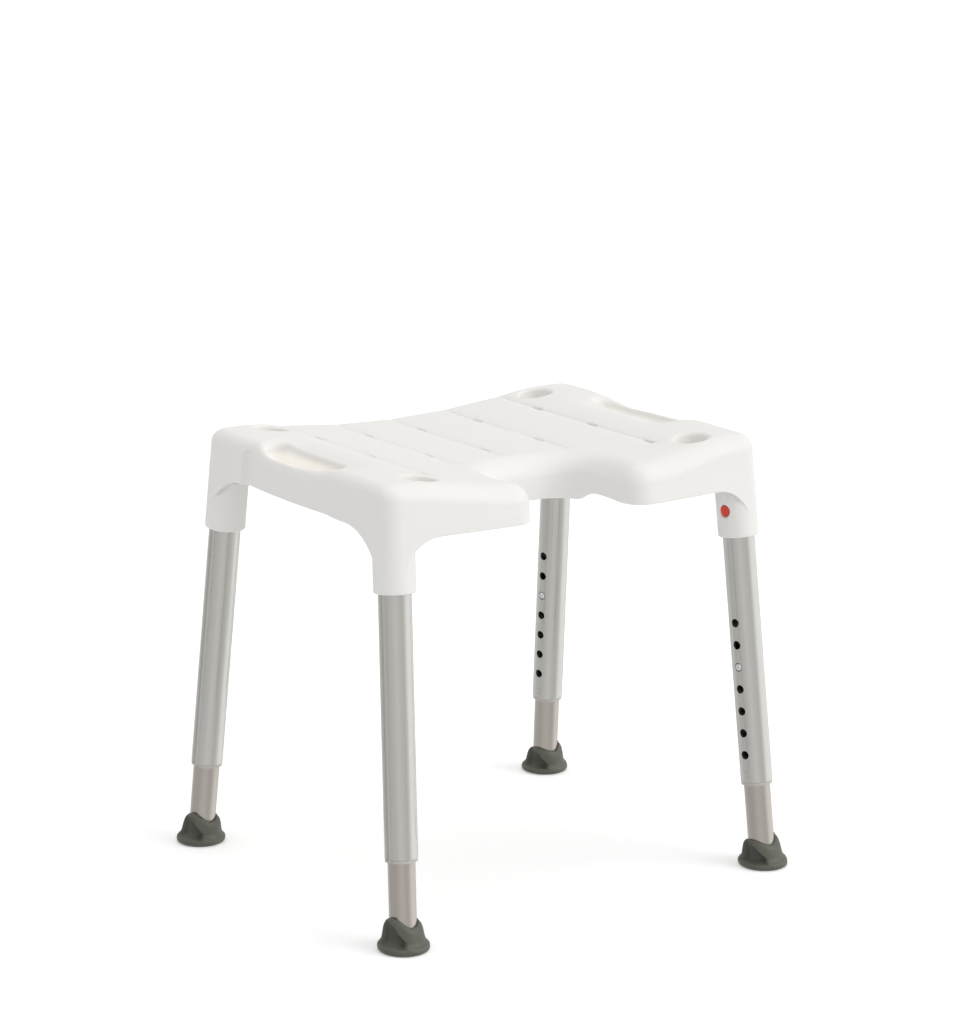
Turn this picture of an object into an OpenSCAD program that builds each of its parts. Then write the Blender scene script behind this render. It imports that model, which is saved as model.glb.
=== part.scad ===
// Height-adjustable shower stool: a white moulded seat with a cut-out front edge, four
// splayed telescopic legs held by snap pins, red leg-release buttons and rubber feet.
//
// Millimetres. Origin on the floor, centred under the seat. Front (cut-out) faces -Y, +Z up.

/* [Stance] */
// Overall width across the feet
overall_width = 536.2; // [500:0.1:580]
// Overall depth across the feet
overall_depth = 475.6; // [440:0.1:520]
// Sideways lean of the legs, per millimetre of height
lean_x = 0.0390; // [0.02:0.0005:0.06]
// Front-to-back lean of the legs, per millimetre of height
lean_y = 0.1034; // [0.08:0.0005:0.13]
// Turn of every leg and foot about its own axis, degrees
leg_turn = 13; // [0:1:20]

/* [Seat] */
// Height of the top face at the middle of the seat
seat_height = 467.7; // [440:0.1:490]
// Rise of the dished top per square millimetre from the middle line
dish_rate = 0.00052; // [0.0003:0.00001:0.0007]
// Width of the band where the dish levels out
level_run = 50; // [30:1:60]
// Distance from the legs inwards where the top is level
level_gap = 8.2; // [2:0.1:20]
// Radius of each leg socket outside
socket_radius = 22.4; // [20:0.1:26]
// Depth of the lower end of the sockets, from the middle of the top
socket_depth = 94.4; // [80:0.1:110]
// Depth of the front and rear skirt
front_depth = 37.2; // [32:0.1:44]
// Depth of the side skirts
side_depth = 31.2; // [28:0.1:38]
// Depth of the skirt in the front cut-out
notch_depth = 46.2; // [36:0.1:52]
// Depth at which the outline of the seat is measured
outline_depth = 27.7; // [24:0.1:32]
// Radius of the arcs where the front and rear skirt run into the sockets
front_arc = 46; // [44:1:60]
// Radius of the arcs where the side skirts run into the sockets
side_arc = 64; // [60:1:80]
// Thickness of the skirt wall
skirt_wall = 3; // [2:0.1:5]
// Clearance between a socket and its leg tube
socket_clearance = 0.1; // [0.05:0.05:0.3]
// Thickness of the top
top_wall = 3.5; // [2.5:0.1:6]
// Forward and rearward bow of the long edges
edge_bow = 11; // [0:0.5:15]
// Distance of the cross ribs under the top from the middle
rib_y = 56; // [45:1:65]
// Depth of the ribs, from the middle of the top
rib_depth = 18.7; // [12:0.1:22]
// Thickness of the ribs
rib_wall = 3; // [2:0.1:4]

/* [Front cut-out] */
// Half width of the cut-out
notch_half = 64; // [50:1:75]
// Distance of the centre of the cut-out curve behind the front legs
notch_gap = 24.6; // [15:0.1:40]
// Reach of the cut-out curve rearwards from its centre
notch_reach = 62; // [50:1:75]
// Squareness of the cut-out curve
notch_power = 2.6; // [2:0.1:4]
// Radius of the rounded lobe tips beside the cut-out
tip_radius = 25; // [15:1:30]
// Sideways flare of the cut-out towards the front
notch_flare = -2; // [-4:1:8]

/* [Hand slots] */
// Distance of the straight inner edge inwards from the legs
slot_gap = 18.2; // [14:0.1:26]
// Width of the slot
slot_width = 35; // [28:0.5:37]
// Distance of the rear end from the rear legs
slot_rear_gap = 86.6; // [76:0.1:110]
// Distance of the front end from the front legs
slot_front_gap = 108.6; // [84:0.1:120]
// Radius of the finger scoop at the rear end
scoop_radius = 13; // [10:0.5:14]
// Depth of the slot wall, from the middle of the top
slot_wall_depth = 17.7; // [10:0.1:20]
// Outward bulge of the rim beside the slot
rim_bulge = 10; // [4:0.5:14]
// Inward step between the corner block and the slot rim
block_step = 3.5; // [1:0.5:6]
// Distance of that step from the legs
block_gap = 64.6; // [56:0.1:72]
// Drop of the slot rim below the corner blocks
rim_drop = 7; // [0:0.5:12]

/* [Corner cups] */
// Distance of the cups inwards from the legs
cup_gap = 45; // [42:0.1:52]
// Distance of the front cups behind the front legs
cup_front_gap = 19.6; // [10:0.1:28]
// Distance of the rear cups in front of the rear legs
cup_rear_gap = 16.6; // [10:0.1:28]
// Radius of a cup
cup_radius = 18; // [14:0.5:20]
// Radius of the cup at its rounded lip
cup_lip = 22; // [19:0.5:24]
// Depth of a cup
cup_depth = 22; // [12:1:30]

/* [Drain grooves] */
// Spacing of the grooves across the seat
groove_pitch = 73.6; // [65:0.1:80]
// Depth of a groove
groove_depth = 1.2; // [0.6:0.1:2]
// Half width of a groove
groove_half = 4; // [2:0.5:6]
// Length of a drain slot
drain_length = 20; // [12:1:26]
// Width of a drain slot
drain_width = 4; // [3:0.1:6]

/* [Leg tubes] */
// Outside diameter of the leg tube
tube_d = 35; // [32:0.1:38]
// Wall of the leg tube
tube_wall = 1.8; // [1.2:0.1:2.5]
// Lower end of the leg tube, along the leg
tube_low = 97.1; // [90:0.1:110]
// Depth of the upper end of the leg tubes, from the middle of the top
tube_depth = 12.5; // [8:0.1:40]
// Width of the lengthwise groove
flute_width = 10; // [6:0.5:12]
// Depth of the lengthwise groove below the round surface
flute_depth = 1.9; // [1:0.1:2.5]
// First height hole, along the leg
hole_top = 279.4; // [270:0.1:290]
// Spacing of the height holes
hole_pitch = 25; // [25:1:25]
// Number of height holes
hole_count = 7; // [7:1:7]
// Diameter of a height hole
hole_d = 9.6; // [8:0.1:11]
// Height hole that the pin sits in, counted from the top
hole_in_use = 3; // [1:1:7]
// Diameter of the small hole for the guide bush
stud_hole_d = 6; // [4:0.1:7]
// Height of the small hole above the tube end
stud_rise = 10.4; // [8:0.1:14]

/* [Extension tubes] */
// Outside diameter of the extension tube
inner_d = 29; // [27:0.1:30]
// Wall of the extension tube
inner_wall = 1.6; // [1.2:0.1:2.5]
// Lower end of the extension tube, along the leg
inner_low = 14; // [8:1:20]
// Length of the extension tube above its pin hole
inner_rise = 26; // [20:1:40]
// Distance of the flat of the extension tube from its axis
inner_flat = 13.2; // [12.5:0.1:14]

/* [Guide bushes] */
// Length of the sleeve inside the leg tube
bush_length = 25; // [15:1:26]
// Thickness of the flange below the leg tube
bush_flange = 3; // [2:0.1:5]
// Radius of the flange
bush_flange_r = 17.2; // [16:0.1:18]
// Clearance between the guide bush and the two tubes
bush_clearance = 0.05; // [0.02:0.01:0.1]

/* [Snap pins and release buttons] */
// Diameter of a snap pin
pin_d = 8.6; // [7:0.1:10]
// Height of the pin dome above the leg tube
pin_proud = 1.6; // [0.5:0.1:3]
// Clearance of a snap pin in its extension tube
pin_clearance = 0.05; // [0.02:0.01:0.1]
// Depth of the pin collar below the wall of the extension tube
pin_collar_sunk = 1.6; // [1.5:0.1:2]
// Height of the release button above the socket end, along the leg
button_rise = 30; // [25:0.5:35]
// Diameter of a release button
button_d = 12; // [10:0.1:14]
// Depth of the button face below the socket surface
button_sunk = 1.2; // [0.5:0.1:2]
// Depth of the button collar below the bore of the leg tube
button_collar_sunk = 2.4; // [2.2:0.1:3]
// Clearance around a release button
button_clearance = 0.3; // [0.1:0.05:0.5]
// Thickness of the spring strip
spring_strip = 0.7; // [0.5:0.1:1]
// Width of the spring strip
spring_width = 7; // [5:0.5:9]

/* [Feet] */
// Radius of the foot at its widest
foot_radius = 27.5; // [24:0.1:32]
// Height of the collar rim at its high points
collar_high = 36.5; // [30:0.5:42]
// Height of the collar rim at its low points
collar_low = 26; // [20:0.5:30]
// Clearance between the foot and the extension tube
foot_clearance = 0.05; // [0.02:0.01:0.2]

/* [Hidden] */

// The four legs: name ending, side along X, side along Y
LEGS = [["front_left", -1, -1], ["front_right", 1, -1], ["rear_left", -1, 1], ["rear_right", 1, 1]];
// Unit vector up a leg and its tilt, from the two leans
axis_norm = sqrt(1 + lean_x * lean_x + lean_y * lean_y);
tilt = acos(1 / axis_norm);
// Foot centres
foot_x = overall_width / 2 - foot_radius - 0.2;
foot_y = overall_depth / 2 - foot_radius - 0.2;
// Heights of the skirt edges, and the two ends of the sockets and tubes along the leg
skirt_front = seat_height - front_depth;
skirt_side = seat_height - side_depth;
skirt_notch = seat_height - notch_depth;
socket_low = (seat_height - socket_depth) * axis_norm;
tube_top = (seat_height - tube_depth) * axis_norm;
tube_r = tube_d / 2;
bore_r = tube_r - tube_wall;
flute_floor = tube_r - flute_depth;
bore_flat = flute_floor - 1.5;
inner_r = inner_d / 2;
inner_bore_r = inner_r - inner_wall;
// Thickness of the collars that keep pins and buttons in, and the gap to the springs behind them
collar_thick = 1;
spring_gap = 0.1;
pin_inner_end = inner_bore_r - pin_collar_sunk - collar_thick;
button_inner_end = bore_r - button_collar_sunk - collar_thick;
pin_height = hole_top - (hole_in_use - 1) * hole_pitch;
button_height = socket_low + button_rise;
stud_height = tube_low + stud_rise;
// Height where the socket bore narrows above the leg tube
bore_end = tube_top + 1;

// ---------------------------------------------------------------- seat shape

// Leg axis at the height where the outline is measured, one quarter
ref_z = seat_height - outline_depth;
ax = foot_x - lean_x * ref_z;
ay = foot_y - lean_y * ref_z;
face_y = ay + socket_radius;
level_at = ax - level_gap;
dish_end = level_at - level_run;
cup_x = ax - cup_gap;
cup_front = cup_front_gap - ay;
cup_rear = ay - cup_rear_gap;
slot_in = ax - slot_gap;
slot_rear = ay - slot_rear_gap;
slot_front = slot_front_gap - ay;
block_edge = ay - block_gap;
notch_y = notch_gap - ay;

// Height of the dished top: a parabola that levels out near the sides
function dish(x) =
    let (a = abs(x), slope = 2 * dish_rate * dish_end, run = level_at - dish_end)
    a < dish_end ? dish_rate * a * a
    : let (t = min(a, level_at) - dish_end)
        dish_rate * dish_end * dish_end + slope * (t - t * t / (2 * run));

function smooth(t) = let (u = max(0, min(1, t))) u * u * (3 - 2 * u);

// Height of the top face, with the lowered rim beside the hand slots
function top_z(x, y) = seat_height + dish(x)
    - rim_drop * smooth((abs(x) - slot_in) / slot_width) * smooth((block_edge - 10 - abs(y)) / 45);

// Side face offset beyond the socket line: step behind the block, then the bulge
function side_out(y) =
    let (a = abs(y))
    a > block_edge + 2 ? 0
    : a > block_edge - 1 ? -block_step * (block_edge + 2 - a) / 3
    : -block_step + rim_bulge * (1 - (a / block_edge) * (a / block_edge));

// Lower edge of a skirt: straight, then an arc down to the socket; t is the distance from the socket axis
function arc_drop(t, reach, radius) =
    t > reach ? 0 : radius - sqrt(radius * radius - (reach - t) * (reach - t));
function front_drop(x) = arc_drop(ax - x, front_arc - 3, front_arc);
function side_drop(y) = arc_drop(ay - abs(y), side_arc - 6, side_arc);
// Lowest points of the skirt at a corner
front_corner = skirt_front - front_drop(ax) + 3;
side_corner = skirt_side - side_drop(ay) + 3;

// Long-edge face at x, with its bow
function edge_y(x) = face_y + edge_bow * (1 - min(1, pow(x / ax, 2)));

tip_x = notch_half + notch_flare + tip_radius;
tip_y = -edge_y(tip_x) + tip_radius;

// Outline stations of the right half, from the cut-out middle round to the rear middle.
// Each holds x, y, inward normal x, y, rim inset, rim drop, lower edge, and ring angle.
function notch_pt(t) = [
    notch_half * pow(sin(t), 2 / notch_power),
    notch_y + notch_reach * pow(cos(t), 2 / notch_power)];
function unit(v) = v / norm(v);
// Normal of the cut-out curve, pointing into the seat
function notch_n(t) = let (p = notch_pt(t), u = p[0] / notch_half, w = (p[1] - notch_y) / notch_reach)
    unit([pow(u, notch_power - 1) / notch_half, pow(w, notch_power - 1) / notch_reach]);

NOTCH = [for (i = [0:7]) let (
        t = i * 90 / 7,
        p = notch_pt(min(t, 89.5)),
        n = t > 89 ? [1, 0] : notch_n(t))
    [p[0], p[1], n[0], n[1], 28, 24, i < 5 ? skirt_notch : skirt_notch + 6, -90 + 40 * i / 7]];
FLANK = [for (i = [1:2]) let (t = i / 3)
    [notch_half + notch_flare * t * t, notch_y + t * (tip_y - notch_y), 1, 0.1 * t,
     28 - 6 * t, 24 - 2 * t, skirt_notch + 6 + (skirt_front - skirt_notch - 6) * t, -50 + 7 * t]];
TIP = [for (i = [0:5]) let (a = 180 + 18 * i)
    [tip_x + tip_radius * cos(a), tip_y + tip_radius * sin(a), -cos(a), -sin(a),
     21, 22, skirt_front, -43 + 7 * i / 5]];
LOBE_X = [tip_x + 28, tip_x + 56, ax - 43, ax - 31, ax - 19, ax - 8, ax];
LOBE = [for (x = LOBE_X) let (t = (x - tip_x) / (ax - tip_x))
    [x, -edge_y(x), 0, 1, 21 + 28 * t * (1 - t) - t, 22 - 3 * t,
     skirt_front - front_drop(x), -36 + 14 * t]];
CORNER = [for (i = [1:7]) let (a = -90 + 90 * i / 7, t = i / 7)
    [ax + socket_radius * cos(a), -ay + socket_radius * sin(a), -cos(a), -sin(a),
     20 - 4 * t, 19 - 5 * t, front_corner + (side_corner - front_corner) * t, -22 + 8 * t]];
SIDE_Y = concat([for (t = [9, 20, 36]) t - ay], [-block_edge - 2],
    [for (t = [-0.99, -0.8, -0.54, -0.27, 0, 0.27, 0.54, 0.8, 0.99]) t * block_edge],
    [block_edge + 2], [for (t = [36, 20, 9]) ay - t]);
SIDE = [for (y = SIDE_Y) let (w = smooth((block_edge - abs(y)) / 30))
    [ax + socket_radius, y, -1, 0, 16, 14 + 2 * w, skirt_side - side_drop(y),
     y < 0 ? -14 * -y / ay : 16 * y / ay]];
REAR_CORNER = [for (i = [0:7]) let (a = 90 * i / 7, t = i / 7)
    [ax + socket_radius * cos(a), ay + socket_radius * sin(a), -cos(a), -sin(a),
     16 + 4 * t, 14 + 2 * t, side_corner + (front_corner - side_corner) * t, 16 + 10 * t]];
REAR_X = concat([for (t = [8, 19, 31, 43]) ax - t], [for (t = [0.64, 0.43, 0.21, 0]) t * ax]);
REAR = [for (x = REAR_X)
    [x, edge_y(x), 0, -1, 20, 16, skirt_front - front_drop(x), 90 - 64 * x / ax]];

HALF = concat(NOTCH, FLANK, TIP, LOBE, CORNER, SIDE, REAR_CORNER, REAR);
half_n = len(HALF);
// Full outline, counter-clockwise from the cut-out middle; the left half mirrors the right
OUTLINE = concat(HALF, [for (i = [half_n - 2:-1:1]) let (s = HALF[i])
    [-s[0], s[1], -s[2], s[3], s[4], s[5], s[6], 180 - s[7]]]);
count = len(OUTLINE);

// Position of a station on the skirt face at height z: the face leans with the legs, and the
// side face bulges beside the hand slot
function face_pt(s, z) =
    let (side = abs(s[1]) < ay && abs(s[0]) > ax,
         bulge = side ? side_out(s[1]) * (0.4 + 0.6 * smooth((z - skirt_side) / 35)) : 0,
         in_x = lean_x * (z - ref_z) * min(1, abs(s[0]) / ax),
         in_y = lean_y * (z - ref_z) * min(1, abs(s[1]) / ay))
    [s[0] + (s[0] > 0 ? bulge - in_x : in_x - bulge), s[1] + (s[1] > 0 ? -in_y : in_y)];

// Height where the rim rounding starts
function rim_z(s) = let (p = face_pt(s, seat_height)) top_z(p[0] + s[2] * s[4], p[1] + s[3] * s[4]) - s[5];

// Point on the rounded rim at angle a, for a skin that lies t below the outer one
function rim_pt(s, a, side_t, top_t) =
    let (z0 = rim_z(s),
         p = face_pt(s, z0),
         inset = side_t + (s[4] - side_t * 0.3) * (1 - cos(a)))
    [p[0] + s[2] * inset, p[1] + s[3] * inset, z0 + (s[5] - top_t) * sin(a)];

// Guide oval in the middle of the seat, behind the cut-out, at a station's ring angle
oval_y = 0.24 * ay;
oval_x = 0.56 * ax;
oval_ry = 0.32 * ay;
function oval_pt(s) = [oval_x * cos(s[7]), oval_y + oval_ry * sin(s[7])];

// Point of the inner top area, t from 0 at the rim to 1 on the guide oval
function field_pt(s, t, top_t) =
    let (p = rim_pt(s, 90, 0, 0),
         q = oval_pt(s),
         x = p[0] + (q[0] - p[0]) * t,
         y = p[1] + (q[1] - p[1]) * t)
    [x, y, top_z(x, y) - top_t];

// Point inside the guide oval, k shrinking from 1 to 0
function core_pt(s, k, top_t) =
    let (q = oval_pt(s), x = q[0] * k, y = oval_y + (q[1] - oval_y) * k)
    [x, y, top_z(x, y) - top_t];

// Ring of points up the skirt face, share f of the way from the lower edge to the rim
function face_ring(f) =
    [for (s = OUTLINE) let (z = s[6] + (rim_z(s) - s[6]) * f, p = face_pt(s, z)) [p[0], p[1], z]];

function outer_rings() = concat(
    [[for (s = OUTLINE) let (q = oval_pt(s)) [q[0], q[1], skirt_front - 5]]],
    [face_ring(0), face_ring(0.5)],
    [for (a = [0, 28, 58, 90]) [for (s = OUTLINE) rim_pt(s, a, 0, 0)]],
    [for (t = [0.45, 1]) [for (s = OUTLINE) field_pt(s, t, 0)]],
    [[for (s = OUTLINE) core_pt(s, 0.5, 0)]]);

// Stations that shape the hollow underside: every one round the cut-out, every other one elsewhere
HOLLOW = [for (i = [0:count - 1]) if (i < 10 || i > count - 10 || i % 2 == 0) OUTLINE[i]];

// Height below every skirt edge, where the hollow is cut from
hollow_low = seat_height - socket_depth - 10;
// Ring of the hollow at a station's lower edge, or at height z below it
function hollow_ring(z) =
    [for (s = HOLLOW) let (p = face_pt(s, s[6]))
        [p[0] + s[2] * skirt_wall, p[1] + s[3] * skirt_wall, z > 0 ? z : s[6]]];

function hollow_rings() = concat(
    [hollow_ring(hollow_low), hollow_ring(0)],
    [for (a = [0, 45, 90]) [for (s = HOLLOW) rim_pt(s, a, skirt_wall, top_wall)]],
    [[for (s = HOLLOW) field_pt(s, 1, top_wall)]]);

function flat(list) = [for (ring = list) for (p = ring) p];

// Closed solid through a stack of rings with the same number of points, from the bottom up
module ring_solid(rings, low, high) {
    m = len(rings[0]);
    n = len(rings);
    points = concat(flat(rings), [low, high]);
    polyhedron(points, concat(
        [for (j = [0:n - 2]) for (i = [0:m - 1]) let (k = (i + 1) % m)
            each [[j * m + i, (j + 1) * m + k, j * m + k], [j * m + i, (j + 1) * m + i, (j + 1) * m + k]]],
        [for (i = [0:m - 1]) [i, (i + 1) % m, n * m]],
        [for (i = [0:m - 1]) [(n - 1) * m + i, n * m + 1, (n - 1) * m + (i + 1) % m]]), convexity = 10);
}

// Places children in a leg's own frame: z up the leg from the floor, +x towards the tube groove
module at_leg(side_x, side_y) {
    translate([side_x * foot_x, side_y * foot_y, 0])
        rotate(a = tilt, v = [side_y * lean_y, -side_x * lean_x, 0])
            rotate([0, 0, leg_turn + (side_x < 0 ? 180 : 0)])
                children();
}

// Plan of a hand slot: share of the width, and distance from an end. Straight inner edge,
// slanted front end, bowed outer edge
SLOT_FRONT = [[0, 12], [0.1, 6.5], [0.28, 3.5], [0.6, 0], [0.8, 1], [0.93, 9], [1, 30]];
SLOT_REAR = [[1, 56], [0.96, 34], [0.88, 17], [0.74, 5], [0.52, 0], [0.26, 0.5], [0.07, 5], [0, 13]];
module slot_plan(g) {
    offset(r = g, $fn = 12)
        polygon(concat(
            [for (p = SLOT_FRONT) [slot_in + p[0] * slot_width, slot_front + p[1]]],
            [for (p = SLOT_REAR) [slot_in + p[0] * slot_width, slot_rear - p[1]]]));
}

module seat_insides() {
    // Walls of the hand slots
    for (m = [0, 1])
        mirror([m, 0, 0])
            translate([0, 0, seat_height - slot_wall_depth])
                linear_extrude(height = slot_wall_depth + 30)
                    slot_plan(skirt_wall);
    // Cup walls and floors
    for (m = [0, 1], y = [cup_front, cup_rear])
        mirror([m, 0, 0])
            translate([cup_x, y, top_z(cup_x, y) - cup_depth - 3])
                cylinder(h = cup_depth + 10, r = cup_radius + skirt_wall, $fn = 24);
    // Stiffening ribs under the top
    rib_z = seat_height - rib_depth;
    for (y = [-rib_y, rib_y])
        translate([5 - ax, y - rib_wall / 2, rib_z])
            cube([2 * ax - 10, rib_wall, rib_depth + 30]);
    for (x = [-1.5 * groove_pitch, 1.5 * groove_pitch])
        translate([x - rib_wall / 2, 4 - edge_y(x), rib_z])
            cube([rib_wall, 2 * edge_y(x) - 8, rib_depth + 30]);
    // Upper part of the leg sockets
    for (leg = LEGS)
        at_leg(leg[1], leg[2])
            translate([0, 0, tube_top - 6])
                cylinder(h = 60, r = socket_radius - 0.4, $fn = 32);
}

// Cut-outs that belong to one leg socket
module socket_cuts() {
    translate([0, 0, socket_low - 5])
        cylinder(h = bore_end - socket_low + 5, r = tube_r + socket_clearance, $fn = 40);
    translate([0, 0, bore_end - 1])
        cylinder(h = 22, r = tube_r - 3.5, $fn = 20);
    // Hole and shallow dish for the release button
    translate([0, 0, button_height])
        rotate([0, -90, 0])
            cylinder(h = socket_radius + 5, r = button_d / 2 + button_clearance, $fn = 24);
    translate([-socket_radius - 4.2, 0, button_height])
        scale([0.6, 1, 1])
            sphere(r = 9.6, $fn = 16);
}

module seat() {
    color([0.96, 0.96, 0.95])
        difference() {
            union() {
                difference() {
                    ring_solid(outer_rings(), [0, oval_y, skirt_front - 5], [0, oval_y, top_z(0, oval_y)]);
                    difference() {
                        ring_solid(hollow_rings(), [0, oval_y, hollow_low - 5],
                            [0, oval_y, top_z(0, oval_y) - top_wall]);
                        seat_insides();
                    }
                }
                for (leg = LEGS)
                    at_leg(leg[1], leg[2])
                        translate([0, 0, socket_low])
                            cylinder(h = tube_top - 3 - socket_low, r = socket_radius - 0.2, $fn = 40);
            }
            for (leg = LEGS)
                at_leg(leg[1], leg[2])
                    socket_cuts();
            // Hand slots with a scooped rear end
            for (m = [0, 1])
                mirror([m, 0, 0]) {
                    translate([0, 0, ref_z])
                        linear_extrude(height = outline_depth + 40)
                            slot_plan(0);
                    scoop_x = slot_in + 0.38 * slot_width;
                    hull() {
                        translate([scoop_x, slot_rear - 2, seat_height + scoop_radius + 9])
                            sphere(r = scoop_radius, $fn = 20);
                        translate([scoop_x + 2, slot_rear - 2 * scoop_radius, seat_height])
                            sphere(r = scoop_radius - 1, $fn = 20);
                    }
                }
            // Corner cups
            for (m = [0, 1], y = [cup_front, cup_rear])
                mirror([m, 0, 0])
                    translate([cup_x, y, top_z(cup_x, y)]) {
                        translate([0, 0, -cup_depth])
                            cylinder(h = cup_depth + 10, r = cup_radius, $fn = 32);
                        translate([0, 0, -4])
                            cylinder(h = 6, r1 = cup_radius - 0.5, r2 = cup_lip + 1, $fn = 32);
                    }
            // Lengthwise grooves and their drain slots
            for (i = [-2:2]) {
                x = i * groove_pitch;
                rear = ay - 43.6 - 5 * abs(i) - (abs(i) > 1 ? 10 : 0);
                front = abs(i) > 1 ? 56.6 - ay : notch_y + (i == 0 ? 92 : 74);
                hull() {
                    translate([x, rear + 60, top_z(x, 0)])
                        rotate([90, 0, 0])
                            linear_extrude(height = rear + 60 - front - 6)
                                polygon([
                                    [0, -groove_depth], [groove_half + 1, 0.3], [-groove_half - 1, 0.3]]);
                    translate([x - 0.5, front - 24, top_z(x, 0) + 0.1])
                        cube([1, 1, 0.2]);
                }
                for (y = abs(i) > 1 ? [rear, -4, front] : [rear, -4])
                    hull()
                        for (e = [-1, 1])
                            translate([x, y + e * (drain_length - drain_width) / 2, seat_height - rib_depth])
                                cylinder(h = rib_depth + 30, r = drain_width / 2, $fn = 8);
            }
        }
}

// ---------------------------------------------------------------- legs

// Round section with one side cut flat at distance f over width w
module flatted(r, f, w) {
    difference() {
        circle(r = r, $fn = 96);
        translate([f, -w / 2])
            square([r, w]);
    }
}

module leg_tube() {
    color([0.74, 0.74, 0.72])
        difference() {
            translate([0, 0, tube_low])
                linear_extrude(height = tube_top - tube_low)
                    difference() {
                        flatted(tube_r, flute_floor, flute_width);
                        flatted(bore_r, bore_flat, flute_width + 3);
                    }
            for (i = [0:hole_count - 1])
                translate([0, 0, hole_top - i * hole_pitch])
                    rotate([0, -90, 0])
                        cylinder(h = tube_d, d = hole_d);
            translate([0, 0, stud_height])
                rotate([0, -90, 0])
                    cylinder(h = tube_d, d = stud_hole_d);
            translate([0, 0, button_height])
                rotate([0, -90, 0])
                    cylinder(h = tube_d, d = button_d + 2 * button_clearance);
        }
}

module extension_tube() {
    color([0.74, 0.71, 0.67])
        difference() {
            translate([0, 0, inner_low])
                linear_extrude(height = pin_height + inner_rise - inner_low)
                    difference() {
                        flatted(inner_r, inner_flat, inner_d);
                        flatted(inner_bore_r, inner_flat - inner_wall, inner_d);
                    }
            translate([0, 0, pin_height])
                rotate([0, -90, 0])
                    cylinder(h = inner_d, d = pin_d + 2 * pin_clearance);
        }
}

module guide_bush() {
    color([0.80, 0.78, 0.74]) {
        difference() {
            union() {
                translate([0, 0, tube_low])
                    linear_extrude(height = bush_length)
                        flatted(bore_r - bush_clearance, bore_flat - bush_clearance, flute_width + 3);
                translate([0, 0, tube_low - bush_flange])
                    linear_extrude(height = bush_flange)
                        flatted(bush_flange_r, flute_floor, flute_width);
                translate([0, 0, stud_height])
                    rotate([0, -90, 0])
                        cylinder(h = tube_r + 0.3, d = stud_hole_d - 0.2);
            }
            translate([0, 0, tube_low - bush_flange - 1])
                linear_extrude(height = bush_length + bush_flange + 2)
                    flatted(inner_r + bush_clearance, inner_flat + bush_clearance, inner_d);
        }
    }
}

// Snap pin with a domed end, pointing to -x
module height_pin() {
    collar = pin_inner_end + collar_thick;
    color([0.82, 0.82, 0.83])
        translate([0, 0, pin_height])
            rotate([0, -90, 0])
                rotate_extrude($fn = 48)
                    polygon(concat(
                        [[0, pin_inner_end], [pin_d / 2 + 1.3, pin_inner_end],
                         [pin_d / 2 + 1.3, collar], [pin_d / 2, collar]],
                        [for (a = [0:15:90])
                            [pin_d / 2 * cos(a), tube_r + pin_proud - 3 + 3 * sin(a)]]));
}

// V-shaped strip: one arm behind the pin, the other against the far wall
module v_spring(height, near, far) {
    half = spring_width / 2;
    color([0.62, 0.63, 0.65])
        translate([0, half, height])
            rotate([90, 0, 0])
                linear_extrude(height = spring_width)
                    polygon([
                        [-near, 9], [-near, -12], [far - 4, -46], [far - 1, -48], [far, -45],
                        [far, -2], [far - spring_strip, -2], [far - spring_strip, -44],
                        [far - 2, -45.5], [-near + spring_strip, -12], [-near + spring_strip, 9]]);
}

module pin_spring() {
    v_spring(pin_height, pin_inner_end - spring_gap, inner_flat - inner_wall);
}

module release_button() {
    collar = button_inner_end + collar_thick;
    face = socket_radius - button_sunk;
    color([0.80, 0.14, 0.08])
        translate([0, 0, button_height])
            rotate([0, -90, 0])
                rotate_extrude($fn = 48)
                    polygon([
                        [0, button_inner_end], [button_d / 2 + 1.5, button_inner_end],
                        [button_d / 2 + 1.5, collar], [button_d / 2, collar],
                        [button_d / 2, face - 0.8], [button_d / 2 - 0.8, face - 0.15],
                        [button_d / 4, face + 0.1], [0, face + 0.15]]);
}

module release_spring() {
    v_spring(button_height, button_inner_end - spring_gap, bore_flat);
}

// ---------------------------------------------------------------- foot

// Shares of the foot's height, and its outline radius there on the ridges and in the scoops
FOOT_RINGS = [
    [0, foot_radius - 2, foot_radius - 2],
    [0.05, foot_radius, foot_radius],
    [0.16, foot_radius + 0.2, foot_radius + 0.2],
    [0.24, foot_radius - 1, foot_radius - 2.5],
    [0.32, foot_radius - 3, inner_r + 6.5],
    [0.45, inner_r + 8.1, inner_r + 4.4],
    [0.65, inner_r + 5.9, inner_r + 4.3],
    [0.85, inner_r + 4.1, inner_r + 3.9],
    [1, inner_r + 2.1, inner_r + 1.9],
    [0.99, inner_r - 3, inner_r - 3]];
// Height of the collar rim at angle a from the groove side
function rim_h(a) = (collar_high + collar_low) / 2 + (collar_high - collar_low) / 2 * cos(2 * a);
foot_steps = 40;

// The foot stands upright while its tube hole follows the leaning leg
module foot(side_x, side_y) {
    turn = leg_turn + (side_x < 0 ? 180 : 0);
    rings = [for (ring = FOOT_RINGS) [for (i = [0:foot_steps - 1])
        let (a = 360 * i / foot_steps,
             z = ring[0] * rim_h(a),
             scoop = pow(abs(cos(a)), 1.6),
             r = ring[1] * (1 - scoop) + ring[2] * scoop)
        [-side_x * lean_x * z + r * cos(a + turn), -side_y * lean_y * z + r * sin(a + turn), z]]];
    color([0.36, 0.37, 0.33])
        difference() {
            translate([side_x * foot_x, side_y * foot_y, 0])
                ring_solid(rings, [0, 0, 0],
                    [-side_x * lean_x * collar_low, -side_y * lean_y * collar_low, collar_low]);
            at_leg(side_x, side_y)
                translate([0, 0, inner_low])
                    cylinder(h = collar_high + 20, r = inner_r + foot_clearance, $fn = 96);
        }
}

// ---------------------------------------------------------------- assembly

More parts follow.
